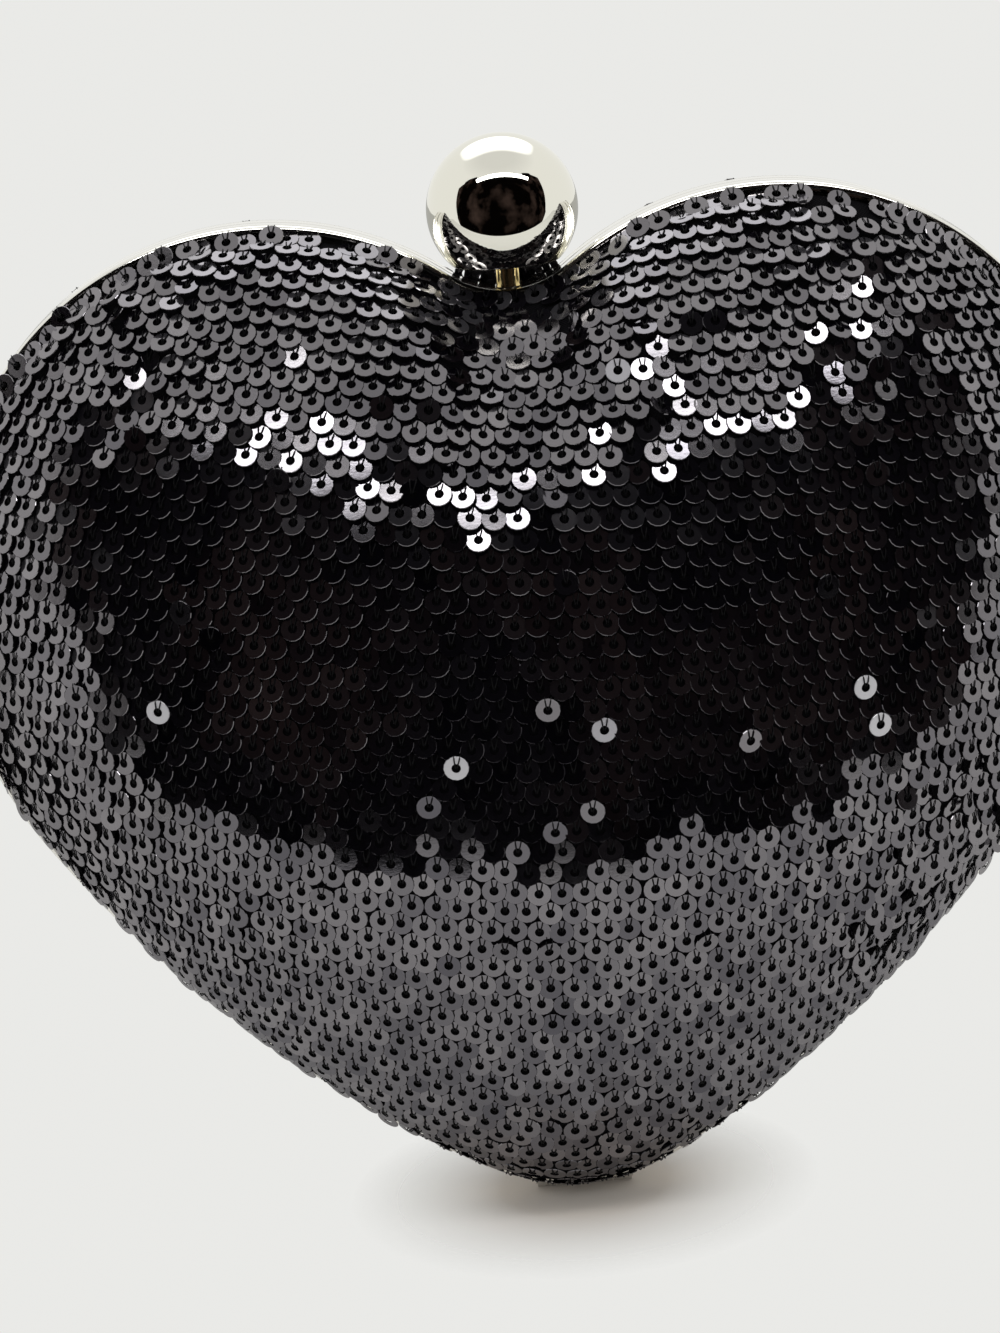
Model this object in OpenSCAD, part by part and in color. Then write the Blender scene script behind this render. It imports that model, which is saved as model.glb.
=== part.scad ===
// A heart shaped evening purse: two hollow domes covered in sequins, each on a pressed metal frame.
// They are hinged at the tip and held shut by a rocking latch with a ball knob in the notch.
// X runs across the heart, Z from its tip up to the lobes, and the front half faces -Y.
// The origin is the outermost point of the frame at the tip, on the plane where the halves part.

/* [Heart outline] */
// Radius of the rounded tip
tip_r = 33.5; // [30:0.5:36]
// Radius of the long, nearly straight flank
flank_r = 202; // [185:1:225]
// Radius of the side, where the heart is widest
side_r = 69; // [66:0.5:73]
// Radius of each lobe
lobe_r = 52; // [49:0.5:54]
// Radius of the notch between the lobes
notch_r = 15.5; // [13.5:0.5:17]
// Direction in which the tip's arc ends, in degrees from straight down
flank_turn = 30; // [28:0.5:32]
// Direction in which the flank ends
side_turn = 56; // [54:0.5:58]
// Direction in which the side ends
lobe_turn = 120; // [117:0.5:123]

/* [Frame] */
// Depth of each half's frame, from the parting plane
frame_depth = 4.4; // [3.6:0.1:5.4]
// Thickness of the frame's outer wall
frame_wall = 1.2; // [0.8:0.1:1.6]
// Width of the lip that turns inwards at the parting plane
lip_w = 4.6; // [4.4:0.1:6]
// Thickness of the lip and of the tongues at the notch
lip_t = 0.6; // [0.4:0.05:0.7]
// Gap between the two closed frames
parting_gap = 0.3; // [0.2:0.05:0.4]

/* [Domes] */
// Height of each dome above its frame
dome_h = 33; // [27:0.5:38]
// How far the sequins start inside the frame's edge
cover_inset = 0.9; // [0.6:0.1:1.2]
// How far the domes sit below the middle of the frame
cover_drop = 0.7; // [0.3:0.1:0.7]
// Thickness of the fabric with its sequins
cover_t = 0.9; // [0.7:0.1:1]
// Thickness of the foam under the fabric
pad_t = 1.2; // [0.8:0.1:1.2]
// Thickness of the rigid shell
shell_t = 1.2; // [0.8:0.1:1.2]
// Thickness of the lining inside
lining_t = 0.6; // [0.4:0.1:0.6]
// Gap between one layer and the next
layer_gap = 0.1; // [0.05:0.01:0.12]

/* [Hinge] */
// Length of the hinge barrel
hinge_l = 16; // [14:0.5:20]
// Radius of the barrel
barrel_r = 1.35; // [1.25:0.05:1.4]
// Radius of the hinge pin
pin_r = 0.8; // [0.6:0.05:0.85]
// Distance of the hinge axis below the tip
axis_drop = 0.4; // [0.3:0.1:0.8]
// Height of the leaves above the tip
leaf_h = 5.6; // [5.2:0.1:7]

/* [Ball clasp] */
// Radius of the ball
ball_r = 12.1; // [10:0.1:12.5]
// Thickness of the hollow ball's wall
ball_wall = 1.2; // [0.8:0.1:1.6]
// Height of the slice cut off below the ball, which leaves it flat there
ball_cut = 3.6; // [3:0.1:4]
// Radius of the stem under the ball
stem_r = 0.9; // [0.7:0.05:1]
// Radius of the collar under the ball
collar_r = 1.95; // [1.6:0.05:2.4]
// Height of the collar
collar_h = 3.8; // [3.2:0.1:4.4]
// How far the ball's middle lies in front of the parting plane
ball_forward = 0.5; // [0.3:0.1:0.6]
// Distance of the latch's pivot behind the parting plane
pivot_y = 7; // [6.5:0.1:8]
// Distance of the pivot below the notch
pivot_drop = 12; // [11.5:0.1:13]
// Radius of the latch's pivot pin
pivot_r = 1; // [0.8:0.05:1.1]
// Width of the latch lever
lever_w = 4; // [3.4:0.1:4.4]

/* [Chain eyes] */
// Radius of the hole that takes the chain's end link
eye_r = 1.6; // [1.2:0.1:2]
// Width of metal round that hole
eye_rim = 1.8; // [1.4:0.1:2.2]
// Thickness of an eye
eye_t = 1; // [0.7:0.1:1.2]
// Direction of the eyes on their lobes, in degrees from straight down
eye_turn = 140; // [134:1:150]

/* [Rivets] */
// Radius of a rivet's shank
rivet_r = 0.8; // [0.6:0.05:0.9]
// Radius of a rivet's head
rivet_head_r = 1.5; // [1.3:0.05:1.7]
// Height of a rivet's head
rivet_head_h = 0.3; // [0.2:0.05:0.35]

/* [Hidden] */
// How the dome rises: the larger the share, the more pointed it is
dome_share = 0.7;
// Height of the domes' tops as a share of the heart's height
apex_share = 0.52;
// How much of the heart's half width and half height the inner, rounder contours take
spread_share = 0.92;
// Contours from a dome's top to its rim, and points on each arc of a contour
dome_rings = 8;
tip_n = 3;
flank_n = 5;
side_n = 8;
lobe_n = 8;
notch_n = 4;
// How many times finer the frames' arcs are than the contours
frame_finer = 3;
// Hinge: knuckles share the barrel, even ones on the back leaf and odd ones on the front leaf
knuckles = 5;
knuckle_gap = 0.1;
leaf_margin = 0.2;
// Tongues at the notch, and the plates riveted to them
tongue_w = 20;
tongue_drop = 18;
plate_w = 18;
plate_over = 4.6;
plate_under = 5.2;
plate_rivet_x = 6.3;
// Lever: its hub, arm, nose, tail and foot
hub_r = 2.2;
arm_h = 2;
keeper_gap = 0.4;
nose_depth = 0.6;
nose_t = 1.3;
tail_r = 1.1;
tail_reach = 2.9;
tail_low = 0.3;
foot_half = 1.1;
stem_clear = 0.6;
push_room = 1.6;
// Cheeks and pin that carry the lever, and the leaf spring under its tail
cheek_t = 0.8;
cheek_rim = 1.6;
head_t = 0.5;
head_rim = 0.5;
spring_t = 0.35;
spring_w = 3;
// Ball: the collar's height over the notch, and the boss inside the ball
collar_lift = 0.25;
ball_boss_r = 3;
// One overrun serves every cut
cut = 1;
// Running clearance of a pin in its hole, and room round a part that passes through a slot
run_gap = 0.04;
slot_gap = 0.3;
$fn = 48;

// The outline is a chain of arcs, each tangent to the next
function toward(a) = [sin(a), -cos(a)];
tip_c = [0, tip_r];
flank_c = tip_c + (tip_r - flank_r) * toward(flank_turn);
side_c = flank_c + (flank_r - side_r) * toward(side_turn);
lobe_c = side_c + (side_r - lobe_r) * toward(lobe_turn);
notch_turn = 180 + asin(lobe_c[0] / (lobe_r + notch_r));
notch_c = lobe_c + (lobe_r + notch_r) * toward(notch_turn);
heart_h = lobe_c[1] + lobe_r;
heart_w = 2 * (side_c[0] + side_r);
notch_z = notch_c[1] - notch_r;

function arc(c, r, a0, a1, n) = [for (i = [0 : n - 1]) c + r * toward(a0 + (a1 - a0) * i / n)];

// Right half of the outline from tip to notch, drawn in by the inset
function half_outline(inset, finer) = concat(
    arc(tip_c, tip_r - inset, 0, flank_turn, tip_n * finer),
    arc(flank_c, flank_r - inset, flank_turn, side_turn, flank_n * finer),
    arc(side_c, side_r - inset, side_turn, lobe_turn, side_n * finer),
    arc(lobe_c, lobe_r - inset, lobe_turn, notch_turn, lobe_n * finer),
    arc(notch_c, -notch_r - inset, notch_turn, 180, notch_n),
    [notch_c - (notch_r + inset) * toward(180)]
);

function outline(inset, finer) =
    let (right = half_outline(inset, finer), n = len(right))
    concat(right, [for (i = [n - 2 : -1 : 1]) [-right[i][0], right[i][1]]]);

// Places along Y, from the parting plane backwards
lip_front = parting_gap / 2;
lip_back = lip_front + lip_t;
leaf_t = barrel_r - lip_back;
leaf_back = lip_back + leaf_t;
rim_y = frame_depth + layer_gap;
skirt_y = leaf_back + rivet_head_h + layer_gap;

// Places across the layers, from the frame's edge inwards
pad_inset = cover_inset + cover_t + layer_gap;
shell_inset = pad_inset + pad_t + layer_gap;
lining_inset = shell_inset + shell_t + layer_gap;
mouth_inset = frame_wall + lip_w;

// Hinge places
knuckle_l = hinge_l / knuckles;
hinge_rivet_x = hinge_l / 2 - rivet_head_r - slot_gap;
hinge_rivet_z = leaf_h - rivet_head_r - leaf_margin;
leaf_foot_z = barrel_r - axis_drop + slot_gap;
wall_top_z = tip_r + slot_gap - sqrt(pow(tip_r - frame_wall, 2) - pow(hinge_l / 2 + slot_gap, 2));

// Clasp places
pivot_z = notch_z - pivot_drop;
ball_z = notch_z + collar_lift + collar_h + ball_r - ball_cut;
stem_foot_z = notch_z - mouth_inset - stem_clear;
stem_slot_w = 2 * (stem_r + slot_gap);
cheek_x = lever_w / 2 + slot_gap;
arm_bottom_z = pivot_z - arm_h / 2;
keeper_z = arm_bottom_z - keeper_gap;
nose_back_y = -leaf_back - slot_gap;
tail_bottom_z = pivot_z - tail_low - tail_r;

// One contour of a dome: the heart at the rim, drawn towards an ellipse at the top
apex = [0, apex_share * heart_h];
function contour(inset, k) =
    let (wide = spread_share * heart_w / 2 - inset, high = spread_share * heart_h / 2 - inset)
    [for (p = outline(inset, 1))
        let (v = p - apex, u = v / norm(v), e = 1 / norm([u[0] / wide, u[1] / high]))
        apex + k * (k * k * v + (1 - k * k) * e * u) - [0, cover_drop]];
function dome_y(inset, k) = rim_y + (dome_h + cover_inset - inset) * pow(1 - k * k, dome_share);
function level(points, y) = [for (p = points) [p[0], y, p[1]]];

// All contours of one face of a layer, and a straight skirt below its rim where foot_y asks for one
function face_rings(inset, foot_y) = concat(
    [for (j = [1 : dome_rings - 1])
        let (k = sin(90 * j / dome_rings))
        level(contour(inset, k), dome_y(inset, k))],
    [level(contour(inset, 1), rim_y)],
    foot_y < rim_y ? [level(contour(inset, 1), foot_y)] : []
);
function flat_list(lists) = [for (l = lists) for (v = l) v];
function band(a, b, n) = [for (i = [0 : n - 1])
    let (j = (i + 1) % n)
    each [[a + i, b + i, b + j], [a + i, b + j, a + j]]];
function fan(tip, a, n) = [for (i = [0 : n - 1]) [tip, a + i, a + (i + 1) % n]];
function flipped(faces) = [for (f = faces) [f[2], f[1], f[0]]];

// A closed skin between two faces of the back dome, inset by inset and by inset + t
module dome_layer(inset, t, foot_y) {
    outer = face_rings(inset, foot_y);
    inner = face_rings(inset + t, foot_y);
    n = len(outer[0]);
    rings = len(outer);
    inner_tip = 1 + n * rings;
    top = [apex[0], 0, apex[1] - cover_drop];
    points = concat(
        [top + [0, dome_y(inset, 0), 0]], flat_list(outer),
        [top + [0, dome_y(inset + t, 0), 0]], flat_list(inner)
    );
    faces = concat(
        fan(0, 1, n),
        [for (r = [0 : rings - 2]) each band(1 + r * n, 1 + (r + 1) * n, n)],
        band(1 + (rings - 1) * n, inner_tip + 1 + (rings - 1) * n, n),
        flipped(fan(inner_tip, inner_tip + 1, n)),
        [for (r = [0 : rings - 2]) each flipped(band(inner_tip + 1 + r * n, inner_tip + 1 + (r + 1) * n, n))]
    );
    polyhedron(points, faces, convexity = 4);
}

// Stands a flat outline up, from y to y + depth
module upright(y, depth) {
    translate([0, y + depth, 0]) rotate([90, 0, 0]) linear_extrude(depth) children();
}

// Extrudes an outline drawn in Y and Z across the middle plane
module across(w) {
    translate([-w / 2, 0, 0]) rotate([90, 0, 90]) linear_extrude(w) children();
}

// A round bar along X
module bar_x(r, x0, x1, y, z) {
    translate([x0, y, z]) rotate([0, 90, 0]) cylinder(r = r, h = x1 - x0);
}

// A round bar along Y
module bar_y(r, y0, y1, x, z) {
    translate([x, y1, z]) rotate([90, 0, 0]) cylinder(r = r, h = y1 - y0);
}

module tongue() {
    translate([-tongue_w / 2, notch_z - tongue_drop])
        square([tongue_w, tongue_drop - frame_wall]);
}

// A frame's wall, its lip and the tongue at the notch, before anything is cut out
module frame_blank() {
    difference() {
        upright(lip_front, frame_depth - lip_front) polygon(outline(0, frame_finer));
        upright(lip_back, frame_depth) polygon(outline(frame_wall, frame_finer));
        upright(lip_front - cut, frame_depth) polygon(outline(mouth_inset, frame_finer));
    }
    upright(lip_front, lip_t) intersection() {
        polygon(outline(frame_wall / 2, frame_finer));
        tongue();
    }
}

// Room for the barrel below the leaf, and for the leaf where it lies on the lip in front of the wall
module hinge_relief() {
    wide = hinge_l + 2 * slot_gap;
    translate([-wide / 2, 0, -cut]) cube([wide, leaf_back + slot_gap, cut + leaf_foot_z]);
    translate([-wide / 2, lip_back, -cut]) cube([wide, leaf_t + slot_gap, cut + wall_top_z]);
}

module hinge_rivet_places() {
    for (x = [-hinge_rivet_x, hinge_rivet_x]) translate([x, 0, hinge_rivet_z]) children();
}

module plate_rivet_places() {
    for (x = [-plate_rivet_x, plate_rivet_x]) translate([x, 0, pivot_z]) children();
}

module rivet_hole() {
    bar_y(rivet_r, -cut, frame_depth, 0, 0);
}

// A flush rivet through two sheets, its head on the inner side
module rivet() {
    bar_y(rivet_r - run_gap, lip_front, leaf_back + rivet_head_h / 2, 0, 0);
    bar_y(rivet_head_r, leaf_back, leaf_back + rivet_head_h, 0, 0);
}

module stem_slot(behind) {
    translate([-stem_slot_w / 2, 0, notch_z - mouth_inset])
        cube([stem_slot_w, behind, mouth_inset + cut]);
}

module lever_slot(low_z) {
    translate([-cheek_x, 0, low_z])
        cube([2 * cheek_x, lip_back + cut, notch_z - mouth_inset + stem_clear - low_z]);
}

module back_frame() color("silver") difference() {
    frame_blank();
    hinge_relief();
    hinge_rivet_places() rivet_hole();
    plate_rivet_places() rivet_hole();
    stem_slot(stem_r + push_room - ball_forward);
    lever_slot(pivot_z - hub_r - slot_gap);
}

module front_frame() color("silver") mirror([0, 1, 0]) difference() {
    frame_blank();
    hinge_relief();
    hinge_rivet_places() rivet_hole();
    plate_rivet_places() rivet_hole();
    stem_slot(stem_r + ball_forward + slot_gap);
    lever_slot(keeper_z - slot_gap);
}

module back_shell() color("dimgray") dome_layer(shell_inset, shell_t, skirt_y);
module front_shell() color("dimgray") mirror([0, 1, 0]) dome_layer(shell_inset, shell_t, skirt_y);
module back_pad() color("gray") dome_layer(pad_inset, pad_t, rim_y);
module front_pad() color("gray") mirror([0, 1, 0]) dome_layer(pad_inset, pad_t, rim_y);
module back_sequin_cover() color("black") dome_layer(cover_inset, cover_t, rim_y);
module front_sequin_cover() color("black") mirror([0, 1, 0]) dome_layer(cover_inset, cover_t, rim_y);
module back_lining() color("darkslategray") dome_layer(lining_inset, lining_t, skirt_y);
module front_lining() color("darkslategray") mirror([0, 1, 0]) dome_layer(lining_inset, lining_t, skirt_y);

// A hinge leaf with the knuckles whose numbers have the given parity
module leaf(parity) {
    difference() {
        union() {
            translate([-hinge_l / 2, lip_back, leaf_foot_z])
                cube([hinge_l, leaf_t, leaf_h - leaf_foot_z]);
            for (i = [0 : knuckles - 1]) if (i % 2 == parity) {
                x0 = -hinge_l / 2 + i * knuckle_l + (i == 0 ? 0 : knuckle_gap);
                x1 = -hinge_l / 2 + (i + 1) * knuckle_l - (i == knuckles - 1 ? 0 : knuckle_gap);
                bar_x(barrel_r, x0, x1, 0, -axis_drop);
                translate([x0, lip_back, -axis_drop]) cube([x1 - x0, leaf_t, axis_drop + leaf_h]);
            }
        }
        bar_x(pin_r + run_gap, -hinge_l, hinge_l, 0, -axis_drop);
        hinge_rivet_places() rivet_hole();
    }
}

module back_hinge_leaf() color("silver") leaf(0);
module front_hinge_leaf() color("silver") mirror([0, 1, 0]) leaf(1);
module hinge_pin() color("silver") {
    bar_x(pin_r, -hinge_l / 2 - head_t / 2, hinge_l / 2 + head_t / 2, 0, -axis_drop);
}
module back_hinge_rivets() color("silver") hinge_rivet_places() rivet();
module front_hinge_rivets() color("silver") mirror([0, 1, 0]) hinge_rivet_places() rivet();

// Bracket on the back tongue: a plate with two cheeks that carry the pivot
module clasp_bracket() color("silver") difference() {
    union() {
        translate([-plate_w / 2, lip_back, pivot_z - plate_under])
            cube([plate_w, leaf_t, plate_under + plate_over]);
        for (side = [-1, 1]) {
            x0 = side > 0 ? cheek_x : -cheek_x - cheek_t;
            bar_x(pivot_r + cheek_rim, x0, x0 + cheek_t, pivot_y, pivot_z);
            translate([x0, lip_back, pivot_z - pivot_r - cheek_rim])
                cube([cheek_t, pivot_y - lip_back, 2 * (pivot_r + cheek_rim)]);
        }
    }
    bar_x(pivot_r + run_gap, -plate_w, plate_w, pivot_y, pivot_z);
    translate([-cheek_x, 0, pivot_z - hub_r - slot_gap])
        cube([2 * cheek_x, leaf_back + cut, hub_r + slot_gap + plate_over + cut]);
    plate_rivet_places() rivet_hole();
}

module bracket_rivets() color("silver") plate_rivet_places() rivet();

module pivot_pin() color("silver") {
    reach = cheek_x + cheek_t + slot_gap / 2;
    bar_x(pivot_r, -reach, reach, pivot_y, pivot_z);
    bar_x(pivot_r + head_rim, reach, reach + head_t, pivot_y, pivot_z);
    bar_x(pivot_r + head_rim, -reach - head_t, -reach, pivot_y, pivot_z);
}

// Leaf spring under the lever's tail
module latch_spring() color("silver") across(spring_w) polygon([
    [leaf_back, pivot_z - plate_under],
    [leaf_back + spring_t, pivot_z - plate_under],
    [leaf_back + spring_t, pivot_z - plate_under + spring_t],
    [pivot_y + tail_reach, tail_bottom_z - keeper_gap - spring_t],
    [pivot_y + tail_reach, tail_bottom_z - keeper_gap],
    [leaf_back + spring_t, pivot_z - plate_under + 3 * spring_t],
    [leaf_back, pivot_z - plate_under + 3 * spring_t]
]);

// Lever: hub on the pivot, foot under the stem, arm with a nose, and a tail on the spring
module latch_lever() color("silver") difference() {
    union() {
        across(lever_w) polygon([
            [nose_back_y - nose_t, keeper_z - nose_depth],
            [nose_back_y, keeper_z - nose_depth],
            [nose_back_y, arm_bottom_z],
            [pivot_y, arm_bottom_z],
            [pivot_y, pivot_z + hub_r],
            [foot_half - ball_forward, stem_foot_z],
            [-foot_half - ball_forward, stem_foot_z],
            [-foot_half - ball_forward, arm_bottom_z + arm_h],
            [nose_back_y - nose_t, arm_bottom_z + arm_h]
        ]);
        bar_x(hub_r, -lever_w / 2, lever_w / 2, pivot_y, pivot_z);
        bar_x(tail_r, -lever_w / 2, lever_w / 2, pivot_y + tail_reach, pivot_z - tail_low);
        translate([-lever_w / 2, pivot_y, tail_bottom_z])
            cube([lever_w, tail_reach, 2 * tail_r]);
    }
    bar_x(pivot_r + run_gap, -lever_w, lever_w, pivot_y, pivot_z);
}

module knob_stem() color("silver") {
    translate([0, -ball_forward, stem_foot_z]) cylinder(r = stem_r, h = ball_z - stem_foot_z);
}

module stem_collar() color("goldenrod") translate([0, -ball_forward, notch_z + collar_lift]) difference() {
    cylinder(r = collar_r, h = collar_h);
    translate([0, 0, -cut]) cylinder(r = stem_r + run_gap, h = collar_h + 2 * cut);
}

// Hollow ball, closed flat below, with a boss that takes the stem
module ball_knob() color("whitesmoke") translate([0, -ball_forward, ball_z]) difference() {
    sphere(r = ball_r, $fn = 96);
    difference() {
        sphere(r = ball_r - ball_wall, $fn = 96);
        translate([0, 0, -ball_r]) cylinder(r = ball_boss_r, h = ball_r + ball_wall);
        translate([0, 0, -ball_r]) cylinder(r = ball_r, h = ball_cut + ball_wall);
    }
    translate([0, 0, -ball_r - cut]) cylinder(r = stem_r + run_gap, h = ball_r + cut + run_gap);
    translate([0, 0, -ball_r - cut]) cylinder(r = ball_r, h = cut + ball_cut);
}

// Keeper on the front tongue: the bar below its slot holds the nose
module keeper_plate() color("silver") mirror([0, 1, 0]) difference() {
    translate([-plate_w / 2, lip_back, pivot_z - plate_under])
        cube([plate_w, leaf_t, plate_under + plate_over]);
    translate([-cheek_x, 0, keeper_z])
        cube([2 * cheek_x, leaf_back + cut, pivot_z + plate_over + cut - keeper_z]);
    plate_rivet_places() rivet_hole();
}

module keeper_rivets() color("silver") mirror([0, 1, 0]) plate_rivet_places() rivet();

// Eye for a shoulder chain, soldered to the edge of the back lip
module chain_eye() {
    middle = lobe_c + (lobe_r - mouth_inset - eye_r - eye_rim) * toward(eye_turn);
    difference() {
        intersection() {
            translate([middle[0], 0, middle[1]]) rotate([0, 180 - eye_turn, 0]) {
                bar_y(eye_r + eye_rim, lip_front, lip_front + eye_t, 0, 0);
                translate([-eye_r - eye_rim, lip_front, 0])
                    cube([2 * (eye_r + eye_rim), eye_t, eye_r + eye_rim + cut]);
            }
            upright(0, frame_depth) polygon(outline(mouth_inset, frame_finer));
        }
        bar_y(eye_r, -cut, frame_depth, middle[0], middle[1]);
    }
}

module chain_eye_left() color("silver") mirror([1, 0, 0]) chain_eye();
module chain_eye_right() color("silver") chain_eye();

back_frame();
back_shell();
back_pad();
back_sequin_cover();
back_lining();
back_hinge_leaf();
back_hinge_rivets();
hinge_pin();
clasp_bracket();
bracket_rivets();
pivot_pin();
latch_spring();
chain_eye_left();
chain_eye_right();
front_frame();
front_shell();
front_pad();
front_sequin_cover();
front_lining();
front_hinge_leaf();
front_hinge_rivets();
keeper_plate();
keeper_rivets();
latch_lever();
knob_stem();
stem_collar();
ball_knob();
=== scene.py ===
# %% [markdown]
# # A heart shaped evening purse
# The purse is two hollow domes on silver frames, hinged at the heart's tip. A polished ball in the notch
# works the latch. Each dome wears black knit with about 2,400 flat sequins, sewn on one by one in rows that
# overlap like fish scales. The solids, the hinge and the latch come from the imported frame. This script gives
# them their looks: smooth frames, knit, sequins, thread, foam, satin and polished metal.

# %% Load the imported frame
import math
import bmesh
import bpy
import numpy as np
from mathutils import Matrix, Vector


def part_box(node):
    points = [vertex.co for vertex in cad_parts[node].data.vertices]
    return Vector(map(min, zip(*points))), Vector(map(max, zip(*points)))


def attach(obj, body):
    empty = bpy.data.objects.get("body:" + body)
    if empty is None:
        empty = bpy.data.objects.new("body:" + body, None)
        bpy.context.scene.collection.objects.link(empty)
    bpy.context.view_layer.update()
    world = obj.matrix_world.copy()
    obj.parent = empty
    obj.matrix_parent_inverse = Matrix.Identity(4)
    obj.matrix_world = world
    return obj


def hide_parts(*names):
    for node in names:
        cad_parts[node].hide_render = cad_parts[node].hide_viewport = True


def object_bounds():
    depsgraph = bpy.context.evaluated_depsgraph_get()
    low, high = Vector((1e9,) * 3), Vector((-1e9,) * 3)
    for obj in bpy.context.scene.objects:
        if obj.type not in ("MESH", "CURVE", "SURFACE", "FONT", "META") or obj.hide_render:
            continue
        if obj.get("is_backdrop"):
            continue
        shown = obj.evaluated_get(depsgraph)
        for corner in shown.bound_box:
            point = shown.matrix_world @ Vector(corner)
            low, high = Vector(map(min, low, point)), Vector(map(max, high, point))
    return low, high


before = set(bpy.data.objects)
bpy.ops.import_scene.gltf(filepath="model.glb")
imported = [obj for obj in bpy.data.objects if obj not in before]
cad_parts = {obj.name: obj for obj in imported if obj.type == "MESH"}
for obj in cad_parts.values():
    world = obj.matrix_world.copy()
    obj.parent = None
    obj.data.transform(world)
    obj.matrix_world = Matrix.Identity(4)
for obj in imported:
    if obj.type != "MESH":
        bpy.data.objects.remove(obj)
cad_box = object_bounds()
MM = 0.001
DEG = math.pi / 180

# %% [markdown]
# ## The camera
# The photographer stood a little to the left of the ball and looked down at the purse, which also leans a
# few degrees in the picture. A long lens keeps the heart's sides from bulging. The camera is placed by its
# distance from the middle of the heart, its height angle and its roll, and a small shift frames the picture.

# %% Camera
VIEW_DISTANCE = 600 * MM
VIEW_DOWN = 14 * DEG
VIEW_ROLL = 5.03 * DEG
AIM_POINT = Vector((0, 0, 81 * MM))
SENSOR = 36.0
PICTURE_SIZE = (1000, 1333)
AIM_PIXEL = (545.0, 713.6)
MM_PER_PIXEL = 0.1646


def place_camera():
    """A camera that sees the aim point at its pixel, rolled about its own axis."""
    forward = Vector((0, math.cos(VIEW_DOWN), -math.sin(VIEW_DOWN)))
    level_up = Vector((0, math.sin(VIEW_DOWN), math.cos(VIEW_DOWN)))
    right = math.cos(VIEW_ROLL) * Vector((1, 0, 0)) - math.sin(VIEW_ROLL) * level_up
    up = math.sin(VIEW_ROLL) * Vector((1, 0, 0)) + math.cos(VIEW_ROLL) * level_up
    aside = (AIM_PIXEL[0] - PICTURE_SIZE[0] / 2) * MM_PER_PIXEL * MM
    below = (AIM_PIXEL[1] - PICTURE_SIZE[1] / 2) * MM_PER_PIXEL * MM
    place = AIM_POINT - VIEW_DISTANCE * forward - aside * right + below * up
    data = bpy.data.cameras.new("camera")
    data.sensor_width = SENSOR
    data.lens = SENSOR * VIEW_DISTANCE / (MM_PER_PIXEL * MM * PICTURE_SIZE[1])
    data.clip_start = 0.01
    camera = bpy.data.objects.new("camera", data)
    bpy.context.scene.collection.objects.link(camera)
    turn = Matrix((right, up, -forward)).transposed().to_4x4()
    camera.matrix_world = Matrix.Translation(place) @ turn
    bpy.context.scene.camera = camera
    return camera


camera = place_camera()
print("camera at", tuple(round(v, 4) for v in camera.location), "lens", round(camera.data.lens, 2))

# %% [markdown]
# ## The heart's outline
# The outline is a chain of arcs, each tangent to the next: the tip, the long flank, the side, the lobe and
# the small hollow of the notch. The same values draw the solids, so every new piece lies where they lie.
# A function gives the outline drawn in by any inset, and all the pieces are built from it.

# %% Outline
TIP_R = 33.5 * MM
FLANK_R = 202 * MM
SIDE_R = 69 * MM
LOBE_R = 52 * MM
NOTCH_R = 15.5 * MM
FLANK_TURN, SIDE_TURN, LOBE_TURN = 30, 56, 120
ARC_STEP = 1.2 * MM
FINE_STEP = ARC_STEP / 4


def toward(degrees):
    """Unit vectors in the heart's plane, by their angle from straight down."""
    a = degrees * DEG
    return np.stack([np.sin(a), -np.cos(a)], -1)


tip_c = np.array([0, TIP_R])
flank_c = tip_c + (TIP_R - FLANK_R) * toward(FLANK_TURN)
side_c = flank_c + (FLANK_R - SIDE_R) * toward(SIDE_TURN)
lobe_c = side_c + (SIDE_R - LOBE_R) * toward(LOBE_TURN)
notch_turn = 180 + math.degrees(math.asin(lobe_c[0] / (LOBE_R + NOTCH_R)))
notch_c = lobe_c + (LOBE_R + NOTCH_R) * toward(notch_turn)
heart_h = lobe_c[1] + LOBE_R
heart_w = 2 * (side_c[0] + SIDE_R)
notch_z = notch_c[1] - NOTCH_R
ARCS = (
    (tip_c, TIP_R, 1, 0, FLANK_TURN),
    (flank_c, FLANK_R, 1, FLANK_TURN, SIDE_TURN),
    (side_c, SIDE_R, 1, SIDE_TURN, LOBE_TURN),
    (lobe_c, LOBE_R, 1, LOBE_TURN, notch_turn),
    (notch_c, NOTCH_R, -1, notch_turn, 180),
)


def outline(inset=0.0, step=ARC_STEP):
    """Points round the whole heart in X and Z, from the tip to the right, drawn in by the inset."""
    right = []
    for centre, radius, side, start, end in ARCS:
        n = max(3, round(radius * (abs(end - start) * DEG) / step))
        angles = start + (end - start) * np.arange(n) / n
        right.append(centre + (side * radius - inset) * toward(angles))
    right.append((notch_c - (NOTCH_R + inset) * toward(180.0))[None])
    right = np.concatenate(right)
    return np.concatenate([right, right[-2:0:-1] * [-1, 1]])


frame_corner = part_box("front_frame")[1]
print("heart", round(heart_w / MM, 2), "x", round(heart_h / MM, 2), "mm")
print("frame's far corner", [round(v / MM, 2) for v in frame_corner])

# %% [markdown]
# ## The domes
# A dome rises from the outline and grows rounder towards its top. Its contours are drawn by a share k: at 1
# the contour is the heart, and towards 0 it turns into an ellipse. The same rule is used two ways here: to
# draw the rings of a skin, and to find how far out the dome stands at any place, for the sequins.

# %% Dome shape
RIM_Y = 4.5 * MM
DOME_H = 33 * MM
COVER_INSET = 0.9 * MM
COVER_DROP = 0.7 * MM
DOME_SHARE = 0.7
APEX_SHARE = 0.52
SPREAD_SHARE = 0.92
KNIT_DEPTH = 0.5 * MM
KNIT_INSET = COVER_INSET + KNIT_DEPTH
SOLVE_STEPS = 10
apex = np.array([0, APEX_SHARE * heart_h])


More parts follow.
